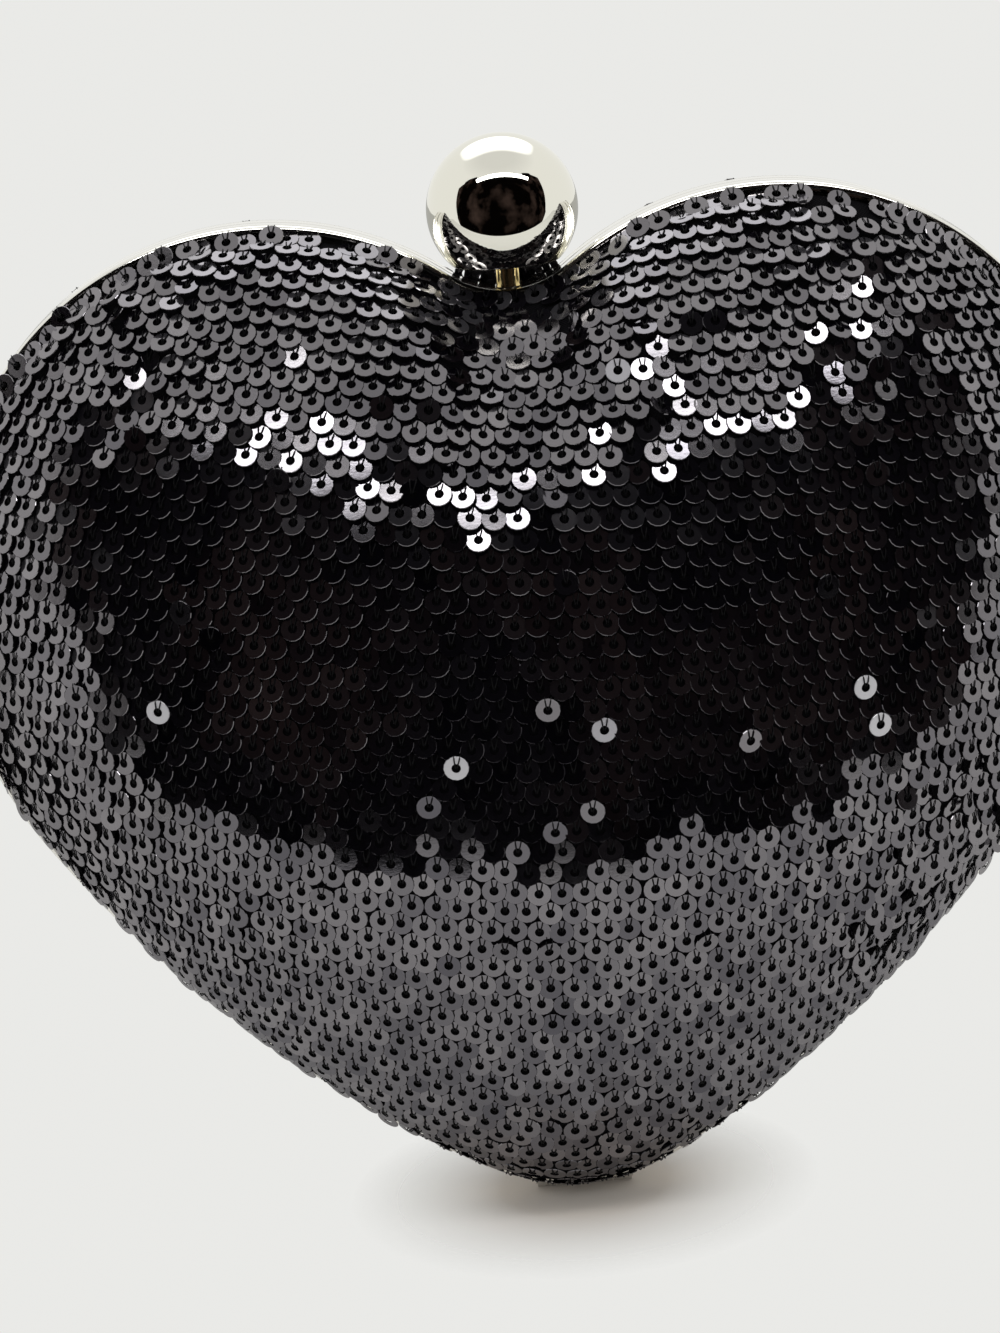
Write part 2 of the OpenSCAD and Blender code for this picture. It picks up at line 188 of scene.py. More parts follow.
def ellipse_reach(unit, inset):
    """How far the round contour reaches from the apex, in the directions given."""
    wide = SPREAD_SHARE * heart_w / 2 - inset
    tall = SPREAD_SHARE * heart_h / 2 - inset
    return 1 / np.hypot(unit[..., 0] / wide, unit[..., 1] / tall)


def dome_rise(k, inset):
    """How far the dome stands from the parting plane on the contour k."""
    return RIM_Y + (DOME_H + COVER_INSET - inset) * np.clip(1 - k * k, 0, 1) ** DOME_SHARE


def upright(points, depth, side):
    """Points of a flat outline, stood up at their distance from the parting plane."""
    return np.column_stack([points[:, 0], np.full(len(points), side * depth), points[:, 1]])


def dome_ring(inset, k, side, step=ARC_STEP, y=None):
    """One contour of a dome as points in space. Side is -1 for the front and 1 for the back."""
    reach = outline(inset, step) - apex
    length = np.linalg.norm(reach, axis=1)[:, None]
    unit = reach / length
    round_reach = ellipse_reach(unit, inset)[:, None]
    flat = apex + k * (k * k * reach + (1 - k * k) * round_reach * unit) - [0, COVER_DROP]
    return upright(flat, dome_rise(k, inset) if y is None else y, side)


def apex_point(inset, side):
    """The top of a dome as a point in space."""
    return Vector((apex[0], side * dome_rise(0.0, inset), apex[1] - COVER_DROP))


rim = outline(KNIT_INSET, FINE_STEP) - apex
rim_order = np.argsort(np.arctan2(rim[:, 0], rim[:, 1]))
rim_angles = np.arctan2(rim[:, 0], rim[:, 1])[rim_order]
rim_reach = np.hypot(rim[:, 0], rim[:, 1])[rim_order]


def reach_at(angle):
    """How far the knit's rim lies from the apex, by the direction from straight up."""
    return np.interp(angle, rim_angles, rim_reach, period=2 * math.pi)


def from_apex(x, z):
    """The direction of a place from the knit's apex, from straight up, and how far away it lies."""
    dx, dz = x - apex[0], z - apex[1] + COVER_DROP
    return np.arctan2(dx, dz), np.hypot(dx, dz)


def knit_share(x, z):
    """The share k of the contour that passes through a place on the knit, above 1 outside it."""
    angle, r = from_apex(x, z)
    rim = reach_at(angle)
    oval = ellipse_reach(np.stack([np.sin(angle), np.cos(angle)], -1), KNIT_INSET)
    k = np.clip(r / rim, 0.02, 1.0)
    for _ in range(SOLVE_STEPS):
        k = np.clip(k - (k ** 3 * (rim - oval) + k * oval - r) / (3 * k * k * (rim - oval) + oval), 0.01, 1.0)
    return np.where(r < rim, k, r / rim)


def knit_depth(x, z):
    """How far the knit stands from the parting plane."""
    return dome_rise(np.minimum(knit_share(x, z), 1), KNIT_INSET)


print("dome stands", round(float(knit_depth(np.array([0.0]), np.array([apex[1]]))[0]) / MM, 2), "mm out")

# %% [markdown]
# ## Skins from rings
# Frames, knit, foam, shells and satin are all swept skins. A first ring of vertices is drawn, its edges are
# extruded once for each further ring, and the new vertices are moved to their places. A dome's last ring is
# merged into one point at the top. Building by extrusion keeps every face joined to its neighbours.

# %% Ring helpers
def ring_edges(bm, ring):
    """The edges of a closed ring of vertices."""
    return [bm.edges.get((a, b)) for a, b in zip(ring, ring[1:] + ring[:1])]


def extrude_ring(bm, ring, points):
    """Extrudes a closed ring of vertices and moves the new ones to the points."""
    made = bmesh.ops.extrude_edge_only(bm, edges=ring_edges(bm, ring))["geom"]
    fresh = {v for v in made if isinstance(v, bmesh.types.BMVert)}
    new_ring = [next(e.other_vert(v) for e in v.link_edges if e.other_vert(v) in fresh) for v in ring]
    for vert, point in zip(new_ring, points):
        vert.co = point
    return new_ring


def draw_ring(bm, points):
    """A closed ring of edges through the points."""
    ring = [bm.verts.new(p) for p in points]
    for a, b in zip(ring, ring[1:] + ring[:1]):
        bm.edges.new((a, b))
    return ring


def sweep(bm, rings, tops=(), closed=False):
    """A skin through the rings. tops are points that close the two ends of an open sweep."""
    first = draw_ring(bm, rings[0])
    last = first
    for points in rings[1:]:
        last = extrude_ring(bm, last, points)
    if closed:
        bmesh.ops.bridge_loops(bm, edges=ring_edges(bm, first) + ring_edges(bm, last))
    for ring, top in zip((first, last), tops):
        cap = extrude_ring(bm, ring, [top] * len(ring))
        bmesh.ops.pointmerge(bm, verts=cap, merge_co=top)
    return first, last


def to_mesh(name, bm, outwards=True):
    """Turns a bmesh into mesh data, with its faces pointing outwards."""
    if outwards:
        bmesh.ops.recalc_face_normals(bm, faces=bm.faces)
    mesh = bpy.data.meshes.new(name)
    bm.to_mesh(mesh)
    bm.free()
    return mesh


def to_piece(name, mesh, *materials):
    """Puts mesh data into the scene as an object at the origin."""
    for material in materials:
        mesh.materials.append(material)
    piece = bpy.data.objects.new(name, mesh)
    bpy.context.scene.collection.objects.link(piece)
    return piece


def finish_mesh(name, bm, material, smooth=True, sharp=None):
    """Turns a bmesh into an object, smooth but for its sharp edges."""
    mesh = to_mesh(name, bm)
    if smooth:
        mesh.shade_smooth()
    if sharp is not None:
        mesh.set_sharp_from_angle(angle=sharp * DEG)
    print(name, len(mesh.polygons), "faces")
    return to_piece(name, mesh, material)


def belong(piece, body, node=None):
    """Puts a piece on the body that it moves with and hides the solid that it stands for."""
    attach(piece, body)
    if node is not None:
        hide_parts(node)


# %% [markdown]
# ## Materials
# Every finish is a small node tree. Metals are mirrors with a little roughness that varies in faint brush
# lines. Sequins are glossy black plastic whose strength of reflection is set by their index of refraction.
# Cloth has a fine bump and a soft sheen.

# %% Node helpers
def add_node(tree, kind, *values, **settings):
    """Adds a shader node. Its inputs take the values in order: a socket is linked, the rest is set."""
    node = tree.nodes.new("ShaderNode" + kind)
    for name, value in settings.items():
        setattr(node, name, value)
    for socket, value in zip(node.inputs, values):
        if isinstance(value, bpy.types.NodeSocket):
            tree.links.new(value, socket)
        elif value is not None:
            socket.default_value = value
    return node


def new_material(name, color, roughness, sockets=None):
    """A material with its node tree and its Principled shader. Further sockets are set by their names."""
    material = bpy.data.materials.new(name)
    material.use_nodes = True
    shader = material.node_tree.nodes["Principled BSDF"]
    values = {"Base Color": (*color, 1), "Roughness": roughness, **(sockets or {})}
    for socket, value in values.items():
        shader.inputs[socket].default_value = value
    return material, material.node_tree, shader


def object_noise(tree, scale, detail=2.0, stretch=(1, 1, 1)):
    """Noise on Object coordinates, stretched along the axes."""
    place = add_node(tree, "TexCoord").outputs["Object"]
    mapping = add_node(tree, "Mapping", place, None, None, stretch)
    return add_node(tree, "TexNoise", mapping.outputs[0], None, scale, detail).outputs["Fac"]


def spread(tree, value, low_value, high_value, start=0.3, end=0.7):
    """Maps a value onto a range."""
    return add_node(tree, "MapRange", value, start, end, low_value, high_value).outputs["Result"]


def mix_shaders(tree, share, first, second):
    """Mixes two shaders into the surface of the material or the world."""
    mix = add_node(tree, "MixShader", share, first.outputs[0], second.outputs[0])
    output = next(n for n in tree.nodes if n.bl_idname.startswith("ShaderNodeOutput"))
    tree.links.new(mix.outputs[0], output.inputs["Surface"])


def add_bump(tree, shader, height, strength, distance):
    """Bends the light on a shader as if its surface rose and fell with the height."""
    bump = add_node(tree, "Bump", strength, distance)
    tree.links.new(height, bump.inputs["Height"])
    tree.links.new(bump.outputs["Normal"], shader.inputs["Normal"])


def bumpy(name, color, roughness, grain, strength, depth, detail=2, stretch=(1, 1, 1), sockets=None):
    """A plain finish with a bump of fine noise."""
    material, tree, shader = new_material(name, color, roughness, sockets)
    add_bump(tree, shader, object_noise(tree, grain, detail, stretch), strength, depth)
    return material


# %% Metals
def metal(name, color, low_rough, high_rough, stretch=(1, 1, 1), scale=160):
    """A mirror whose roughness varies between two values in faint brush lines."""
    material, tree, shader = new_material(name, color, low_rough, {"Metallic": 1.0})
    grain = object_noise(tree, scale, 3, stretch)
    tree.links.new(spread(tree, grain, low_rough, high_rough), shader.inputs["Roughness"])
    add_bump(tree, shader, grain, 0.02, 0.02 * MM)
    return material


polished_silver = metal("polished_silver", (0.84, 0.825, 0.775), 0.07, 0.16, (1, 6, 1))
mirror_ball = metal("mirror_ball", (0.84, 0.825, 0.745), 0.012, 0.03, scale=60)
# Dark rough metal for the ball's flat underside: a painted shade for the dark gap under the ball.
painted_shade_underside = metal("painted_shade_underside", (0.03, 0.026, 0.022), 0.35, 0.6)
gilt_brass = metal("gilt_brass", (0.83, 0.66, 0.33), 0.08, 0.18)
nickel_steel = metal("nickel_steel", (0.62, 0.61, 0.59), 0.16, 0.30, (1, 5, 1), 240)
print("metals", [m.name for m in (polished_silver, mirror_ball, painted_shade_underside, gilt_brass, nickel_steel)])

# %% [markdown]
# ## The frames
# Each half has a pressed metal frame: an outer wall with a rounded bead along its front edge, and a lip that
# turns inwards at the parting plane. The lip widens into a tongue at the notch, which carries the latch. The
# frame's section is swept round the outline, and slots for the stem, the lever and the hinge are cut out.

# %% Frame section and tongue
LIP_FRONT = 0.15 * MM
LIP_BACK = 0.75 * MM
FRAME_DEPTH = 4.4 * MM
FRAME_WALL = 1.2 * MM
MOUTH_INSET = 5.8 * MM
EDGE_R = 0.12 * MM
BEAD_R = 0.62 * MM
BEAD_FOOT, BEAD_RISE, BEAD_FULLNESS = 0.2, 1.8, 0.8
BEAD_TURN_STEP = 20
GROOVE = 0.14 * MM
TONGUE_HALF = 10 * MM
TONGUE_DROP = 18 * MM


def frame_section():
    """The frame's section as pairs of inset and distance from the parting plane."""
    bead_y = FRAME_DEPTH - 2 * BEAD_R
    section = [(EDGE_R, LIP_FRONT), (0, LIP_FRONT + EDGE_R), (0, bead_y - GROOVE), (GROOVE, bead_y)]
    for turn in range(0, 181, BEAD_TURN_STEP):
        angle = turn * DEG
        across = BEAD_R * (1 - math.cos(angle)) * (FRAME_WALL / (2 * BEAD_R))
        section.append((across, bead_y + BEAD_R * (BEAD_FOOT + BEAD_RISE * math.sin(angle) ** BEAD_FULLNESS)))
    return section + [(FRAME_WALL, bead_y), (FRAME_WALL, LIP_BACK)]


def tongue_edge(inset):
    """The lip's inner edge, which runs down and round the tongue at the notch."""
    ring = outline(inset)
    near = np.nonzero((np.abs(ring[:, 0]) < TONGUE_HALF) & (ring[:, 1] > heart_h / 2))[0]
    top_z = ring[near[0], 1]
    low_z = notch_z - TONGUE_DROP - (inset - MOUTH_INSET)
    half = TONGUE_HALF
    lengths = np.cumsum([0, top_z - low_z, 2 * half, top_z - low_z])
    along = np.linspace(0, lengths[-1], len(near))
    for corner in lengths[1:3]:
        along[np.argmin(np.abs(along - corner))] = corner
    ring[near, 0] = np.interp(along, lengths, [half, half, -half, -half])
    ring[near, 1] = np.interp(along, lengths, [top_z, low_z, low_z, top_z])
    return ring


print("frame section of", len(frame_section()), "points, bead", round(2 * BEAD_R / MM, 2), "mm thick")


# %% Cutters
HINGE_HALF = 8.3 * MM
LEAF_FOOT_Z = 1.25 * MM
WALL_TOP_Z = 2.585 * MM
LEAF_SPACE_Y = 1.65 * MM
STEM_SLOT_HALF = 1.2 * MM
LEVER_SLOT_HALF = 2.3 * MM
PIVOT_DROP = 12 * MM
RIVET_R = 0.8 * MM
HINGE_RIVET = (6.2 * MM, 3.9 * MM)
PLATE_RIVET_X = 6.3 * MM
OVERRUN = 1 * MM
pivot_z = notch_z - PIVOT_DROP


def add_block(bm, low, high):
    """A box between two corners."""
    low, high = Vector(low), Vector(high)
    place = Matrix.Translation((low + high) / 2) @ Matrix.Diagonal((*(high - low), 1))
    bmesh.ops.create_cube(bm, size=1, matrix=place)


def add_bar_y(bm, radius, x, z, y0, y1, segments=32):
    """A round bar along Y."""
    place = Matrix.Translation((x, (y0 + y1) / 2, z)) @ Matrix.Rotation(90 * DEG, 4, "X")
    bmesh.ops.create_cone(
        bm, cap_ends=True, segments=segments, radius1=radius, radius2=radius, depth=abs(y1 - y0), matrix=place
    )


def cut_out(piece, draw):
    """Cuts what draw makes out of a piece and keeps the result as its mesh."""
    bm = bmesh.new()
    draw(bm)
    cutter = to_piece("cutter", to_mesh("cutter", bm))
    modifier = piece.modifiers.new("cut", "BOOLEAN")
    modifier.operation = "DIFFERENCE"
    modifier.solver = "EXACT"
    modifier.use_self = True
    modifier.object = cutter
    bpy.context.view_layer.update()
    cut_mesh = bpy.data.meshes.new_from_object(piece.evaluated_get(bpy.context.evaluated_depsgraph_get()))
    piece.modifiers.clear()
    piece.data = cut_mesh
    bpy.data.objects.remove(cutter)
    print(piece.name, "cut,", len(cut_mesh.polygons), "faces")


def frame_cutter(side, stem_y, lever_low_z):
    """The slots and rivet holes of one frame, as a function that draws them."""

    def span(y0, y1):
        return (min(side * y0, side * y1), max(side * y0, side * y1))

    def draw(bm):
        y0, y1 = span(-OVERRUN, stem_y)
        add_block(bm, (-STEM_SLOT_HALF, y0, notch_z - MOUTH_INSET), (STEM_SLOT_HALF, y1, notch_z + OVERRUN))
        y0, y1 = span(-2 * OVERRUN, LIP_BACK + OVERRUN)
        top_z = notch_z - MOUTH_INSET + STEM_SLOT_HALF / 2
        add_block(bm, (-LEVER_SLOT_HALF, y0, lever_low_z), (LEVER_SLOT_HALF, y1, top_z))
        y0, y1 = span(-OVERRUN, LEAF_SPACE_Y)
        add_block(bm, (-HINGE_HALF, y0, -OVERRUN), (HINGE_HALF, y1, LEAF_FOOT_Z))
        y0, y1 = span(LIP_BACK, LEAF_SPACE_Y)
        add_block(bm, (-HINGE_HALF, y0, -OVERRUN), (HINGE_HALF, y1, WALL_TOP_Z))
        for way in (-1, 1):
            add_bar_y(bm, RIVET_R, way * HINGE_RIVET[0], HINGE_RIVET[1], -OVERRUN, OVERRUN)
            add_bar_y(bm, RIVET_R, way * PLATE_RIVET_X, pivot_z, -OVERRUN, OVERRUN)

    return draw


print("the latch turns", round(PIVOT_DROP / MM, 1), "mm under the notch, at", round(pivot_z / MM, 2), "mm")

# %% Make the frames
FRAME_SHARP = 28


def make_frame(name, node, body, side, stem_y, lever_low_z):
    """One frame, swept and cut out, with its flat faces kept sharp."""
    rings = [upright(outline(inset), y, side) for inset, y in frame_section()]
    for inset, y in (
        (MOUTH_INSET - EDGE_R, LIP_BACK),
        (MOUTH_INSET, LIP_BACK - EDGE_R),
        (MOUTH_INSET, LIP_FRONT + EDGE_R),
        (MOUTH_INSET - EDGE_R, LIP_FRONT),
    ):
        rings.append(upright(tongue_edge(inset), y, side))
    bm = bmesh.new()
    sweep(bm, rings, closed=True)
    piece = finish_mesh(name, bm, polished_silver)
    cut_out(piece, frame_cutter(side, stem_y, lever_low_z))
    piece.data.shade_smooth()
    piece.data.set_sharp_from_angle(angle=FRAME_SHARP * DEG)
    belong(piece, body, node)


make_frame("front_rim", "front_frame", "front_half", -1, 1.7 * MM, pivot_z - 1.7 * MM)
make_frame("back_rim", "back_frame", "back_half", 1, 2.0 * MM, pivot_z - 2.5 * MM)

# %% [markdown]
# ## Layers of each half
# Under the sequins lies black knit on thin foam, then a rigid moulded shell, and satin inside. Each layer is
# a closed skin between two domes, one inside the other, with its edge at the rim or on the lip.

# %% Cloth, foam, shell and satin finishes
RIB_PITCH = 0.55 * MM
RIB_AXES = ((1.0, 0, 0.25), (0, 0.35, 1.0))


def black_knit_finish():
    """Fine warp knit: small ribs in two directions with a soft sheen."""
    sheen = {"Specular IOR Level": 0.06, "Sheen Weight": 0.01, "Sheen Roughness": 0.4}
    material, tree, shader = new_material("black_knit", (0.002, 0.0018, 0.0026), 0.85, sheen)
    place = add_node(tree, "TexCoord").outputs["Object"]
    waves = []
    for axis in RIB_AXES:
        across = Vector(axis) * (2 * math.pi / RIB_PITCH)
        dot = add_node(tree, "VectorMath", place, across, operation="DOT_PRODUCT")
        waves.append(add_node(tree, "Math", dot.outputs["Value"], operation="SINE").outputs[0])
    height = add_node(tree, "Math", *waves, operation="MULTIPLY")
    add_bump(tree, shader, height.outputs[0], 0.5, 0.12 * MM)
    return material


black_knit = black_knit_finish()
black_satin = bumpy(
    "black_satin", (0.022, 0.021, 0.024), 0.34, grain=95, stretch=(1, 1, 0.45), strength=0.35, depth=0.6 * MM,
    sockets={"Sheen Weight": 0.3, "Sheen Roughness": 0.3},
)
black_foam = bumpy("black_foam", (0.05, 0.05, 0.055), 0.95, grain=2600, strength=0.6, depth=0.1 * MM)
moulded_shell = bumpy("moulded_shell", (0.09, 0.09, 0.09), 0.5, grain=900, strength=0.15, depth=0.05 * MM)
print("layers wear", [m.name for m in (black_knit, black_foam, moulded_shell, black_satin)])

# %% Layer skins
SKIN_STEP = 2.5 * MM
SKIRT_Y = 1.75 * MM
PAD_INSET, PAD_T = 1.9 * MM, 1.2 * MM
SHELL_INSET, SHELL_T = 3.2 * MM, 1.2 * MM
LINING_INSET, LINING_T = 4.5 * MM, 0.6 * MM
KNIT_T = 0.35 * MM
SKIN_RINGS = 20
SKIN_SHARP = 50
GIRTH_RINGS = 60


def layer_skin(name, inset, thickness, side, foot_y, material):
    """A closed skin between two domes, with a straight foot down to foot_y."""
    shares = [math.sin(90 * i / SKIN_RINGS * DEG) for i in range(1, SKIN_RINGS + 1)]
    outer = [dome_ring(inset, k, side, SKIN_STEP) for k in shares]
    inner = [dome_ring(inset + thickness, k, side, SKIN_STEP) for k in shares]
    foot = []
    if foot_y < RIM_Y:
        foot = [dome_ring(i, 1.0, side, SKIN_STEP, foot_y) for i in (inset, inset + thickness)]
    bm = bmesh.new()
    tops = apex_point(inset, side), apex_point(inset + thickness, side)
    sweep(bm, outer + foot + inner[::-1], tops=tops)
    return finish_mesh(name, bm, material, sharp=SKIN_SHARP)


def make_layers(word, side, body):
    """Foam, shell and satin of one half."""
    pad = layer_skin(word + "_foam", PAD_INSET, PAD_T, side, RIM_Y, black_foam)
    shell = layer_skin(word + "_moulding", SHELL_INSET, SHELL_T, side, SKIRT_Y, moulded_shell)
    satin = layer_skin(word + "_satin", LINING_INSET, LINING_T, side, SKIRT_Y, black_satin)
    for piece, node, slot in (
        (pad, "_pad", "foam_padding"),
        (shell, "_shell", "moulded_shell"),
        (satin, "_lining", "satin_lining"),
    ):
        belong(piece, body, word + node)
    return satin


def skin_area(piece):
    """The area of one face of a thin closed skin."""
    return sum(p.area for p in piece.data.polygons) / 2


def girths(inset):
    """How far it is over a dome, from side to side and from top to bottom through its apex."""
    shares = np.linspace(0, 1, GIRTH_RINGS)
    rings = np.array([dome_ring(inset, k, -1, SKIN_STEP) for k in shares])
    lengths = np.linalg.norm(np.diff(rings, axis=0), axis=2).sum(0)
    heights = rings[-1][:, 2]
    across = lengths[np.argmin(rings[-1][:, 0])] + lengths[np.argmax(rings[-1][:, 0])]
    along = lengths[np.argmin(heights)] + lengths[np.argmax(heights)]
    return float(across), float(along)


def declare_cloth(piece, inset):
    """Prints the size of the blank that a cloth stretched over a dome was cut from, and the cloth's area."""
    flat, area = girths(inset), skin_area(piece)
    print(piece.name, "blank", [round(v / MM) for v in flat], "mm, area", round(area / MM ** 2), "mm2")


linings = {"front": make_layers("front", -1, "front_half"), "back": make_layers("back", 1, "back_half")}
for word, lining in linings.items():
    declare_cloth(lining, LINING_INSET)

# %% [markdown]
# ## Rows of sequins
# Sequins are sewn row by row, and a row keeps its distance to the next one along the cloth, not along the
# air. So the rows are lines of constant distance over the dome, measured up and down from a line through its
# middle. They dip a little at the tip, where the maker had to turn them round the bottom.

# %% Row lines
ROW_PITCH = 3.28 * MM
SEQUIN_PITCH = 3.6 * MM
ROW_START_Z = 81 * MM
ROW_SLOPE = math.tan(-4 * DEG)
LEFT_RISE = math.tan(5.5 * DEG)
RIGHT_RISE = math.tan(1.5 * DEG)
BEND_X = -8 * MM
BEND_R = 15 * MM
SMILE = 1.7
SMILE_FROM, SMILE_FULL = -45 * MM, -70 * MM
STRETCH_ROW = -3
LOWER_STRETCH = 0.08
FIELD_X = np.arange(-96, 96.01, 0.5) * MM
FIELD_Z = np.arange(-4, 172.01, 0.25) * MM


def distance_field():
    """Distance along the cloth from the starting line, for each column of places."""
    x, z = np.meshgrid(FIELD_X, FIELD_Z, indexing="ij")
    depth = knit_depth(x, z)
    steps = np.hypot(np.diff(depth, axis=1), FIELD_Z[1] - FIELD_Z[0])
    field = np.concatenate([np.zeros((len(FIELD_X), 1)), np.cumsum(steps, 1)], 1)
    for i, column_x in enumerate(FIELD_X):
        field[i] -= np.interp(ROW_START_Z + ROW_SLOPE * column_x, FIELD_Z, field[i])
    return field


cloth_field = distance_field()


def ramp(value, start, end):
    """How far a value has come from start to end, from 0 to 1."""
    return np.clip((value - start) / (end - start), 0, 1)


def row_line(distance):
    """The heights of one row over all columns."""
    left = LEFT_RISE * (np.hypot(FIELD_X - BEND_X, BEND_R) - (FIELD_X - BEND_X)) / 2
    right = RIGHT_RISE * np.maximum(FIELD_X, 0)
    target = distance + left + right + ramp(distance, SMILE_FROM, SMILE_FULL) * SMILE * FIELD_X ** 2
    return np.array([np.interp(t, column, FIELD_Z) for t, column in zip(target, cloth_field)])


def row_distance(row):
    """Distance of a row along the cloth, which is stretched a little more over the lower half."""
    return ROW_PITCH * (row + LOWER_STRETCH * min(0, row - STRETCH_ROW))


middle_column = cloth_field[len(FIELD_X) // 2] / MM
print("cloth runs from", round(float(middle_column.min())), "to", round(float(middle_column.max())), "mm")

# %% Places, normals and directions on the knit
TINY_TURN, TINY_SHARE = 2e-3, 2e-4
SHARE_LIMITS = (0.03, 0.9995)


def on_knit(x, z):
    """Places on the front knit from their X and Z."""
    return np.stack([x, -knit_depth(x, z), z], -1)


def knit_point(angle, k):
    """A place on the front knit from its direction round the apex and its contour."""
    unit = np.stack([np.sin(angle), np.cos(angle)], -1)
    rim = reach_at(angle)
    reach = k * (k * k * rim + (1 - k * k) * ellipse_reach(unit, KNIT_INSET))
    flat = apex + reach[..., None] * unit
    return np.stack([flat[..., 0], -dome_rise(k, KNIT_INSET), flat[..., 1] - COVER_DROP], -1)


def knit_normal(x, z):
    """Outward normals of the front knit."""
    k = np.clip(knit_share(x, z), *SHARE_LIMITS)
    angle, _ = from_apex(x, z)
    across = knit_point(angle + TINY_TURN, k) - knit_point(angle - TINY_TURN, k)
    outward = knit_point(angle, k) - knit_point(angle, k - TINY_SHARE)
    normal = np.cross(across, outward)
    normal /= np.linalg.norm(normal, axis=-1)[..., None]
    facing = np.where(normal[..., 1] > 0, -1.0, 1.0)
    return normal * facing[..., None], k


def lay_flat(along, normal):
    """Directions turned into the cloth's surface, with length 1."""
    along = along - (along * normal).sum(-1)[:, None] * normal
    return along / np.linalg.norm(along, axis=-1)[:, None]


# %% [markdown]
# ## Tilt of the rows and the edges of a face
# The lower edge of each sequin stands off a little, more so near the top, where the rows hang from their
# stitches. The rows stop short of the rim by their distance from the knit's edge, measured over the dome. One
# more row is sewn by hand along the rim itself, and a few sequins stand up behind the ball.

# %% Tilt of the rows and distance from the edge
TILT_HEIGHTS = np.array([2, 18, 66, 100, 124, 162]) * MM
TILTS = np.array([-4, 8, 8.5, 11.8, 14.5, 15]) * DEG


def lap_tilt(z):
    """How far the lower edges stand off: the weight of the rows makes it grow towards the top."""
    return np.interp(z, TILT_HEIGHTS, TILTS)


def edge_distance(k, x, z):
    """Roughly how far a place lies from the knit's edge, measured over the dome."""
    angle, _ = from_apex(x, z)
    return np.hypot((1 - k) * reach_at(angle), dome_rise(k, KNIT_INSET) - RIM_Y)


def lengths_along(points):
    """How far along a line each of its points lies."""
    return np.concatenate([[0], np.cumsum(np.linalg.norm(np.diff(points, axis=0), axis=1))])


heights = np.array([10, 80, 150])
print("rows stand off", np.round(lap_tilt(heights * MM) / DEG, 1), "degrees at", heights, "mm")

# %% Row along the rim
RIM_ROW_ROOM = 1.05 * MM
TIP_ROW_ROOM = 0.5 * MM
TIP_ROW_TOP_Z = 12 * MM
RIM_ROW_SHARE = 0.93
RIM_PITCH = SEQUIN_PITCH * 0.9
RIM_SPREAD, RIM_ROOM_SPREAD = 0.5 * MM, 0.2 * MM
RIM_SHARES = np.linspace(0.9, 0.9999, 400)
RIM_STEP = 0.01
LEAN_FROM_Z, LEAN_FULL_Z = 70 * MM, 100 * MM
RIM_LEAN, RIM_LEAN_SPREAD = 9 * DEG, 9 * DEG
TIP_CALM = 0.4


def rim_row(rng):
    """One more row, sewn on by hand along the rim, whose sequins lean to the front on the lobes."""
    ring = outline(KNIT_INSET, FINE_STEP)
    length = lengths_along(ring)
    at = np.arange(0, length[-1], RIM_PITCH)
    at = at[rng.uniform(size=len(at)) < RIM_ROW_SHARE]
    at = at + rng.normal(0, RIM_SPREAD, len(at))
    edge = np.stack([np.interp(at, length, ring[:, 0]), np.interp(at, length, ring[:, 1])], -1)
    edge = edge - [0, COVER_DROP]
    angle, _ = from_apex(edge[:, 0], edge[:, 1])
    room = np.where(edge[:, 1] < TIP_ROW_TOP_Z, TIP_ROW_ROOM, RIM_ROW_ROOM)
    room = np.abs(room + rng.normal(0, RIM_ROOM_SPREAD, len(edge)))
    nearest_share = [np.argmin(np.abs(edge_distance(RIM_SHARES, *spot) - r)) for spot, r in zip(edge, room)]
    k = RIM_SHARES[nearest_share]
    here = knit_point(angle, k)
    ahead = knit_point(angle + RIM_STEP, k)
    normal, _ = knit_normal(here[:, 0], here[:, 2])
    along = ahead - here
    along *= np.where(along[:, 0] < 0, -1, 1)[:, None]
    full = ramp(here[:, 2], LEAN_FROM_Z, LEAN_FULL_Z)
    lean = full * (RIM_LEAN + lap_tilt(here[:, 2]))
    lean = lean + rng.normal(0, 1, len(here)) * RIM_LEAN_SPREAD * (TIP_CALM + (1 - TIP_CALM) * full)
    return here, normal, lay_flat(along, normal), lean


print("a rim row has room for", round(float(lengths_along(outline(KNIT_INSET))[-1]) / RIM_PITCH), "sequins")

# %% Tuft in the notch
TUFT_X = np.array([-6.5, -5.0, -3.8, -2.4, -1.2, 0.2, 1.3, 2.6, 3.9, 5.1, 6.4]) * MM
TUFT_Y = 5.15 * MM
TUFT_STEP = 0.16 * MM
TUFT_RISE = 0.3 * MM
TUFT_LEAN = 22 * DEG


def notch_tuft():
    """Sequins that stand up behind the ball, at the bottom of the notch. They are for the back half only."""
    rise = notch_c[1] - np.sqrt(NOTCH_R ** 2 - TUFT_X ** 2) + TUFT_RISE
    count = len(TUFT_X)
    places = np.column_stack([TUFT_X, -TUFT_Y - TUFT_STEP * (np.arange(count) % 2), rise])
    normals = np.tile([0, -math.cos(TUFT_LEAN), math.sin(TUFT_LEAN)], (count, 1))
    return places, normals, np.tile([1.0, 0, 0], (count, 1)), lap_tilt(rise)


print("sequins in the tuft:", len(notch_tuft()[0]))

# %% All rows of a face
EDGE_ROOM = 1.8 * MM
LOBE_ROOM = 2.2 * MM
ROOM_SPREAD = 0.25 * MM
ROW_SHIFT, LOW_ROW_SHIFT = 0.29, 0.21
ALONG_SPREAD, HEIGHT_SPREAD = 0.15 * MM, 0.12 * MM
NEAR_STEP = 0.3 * MM
INSIDE_SHARE = 0.999


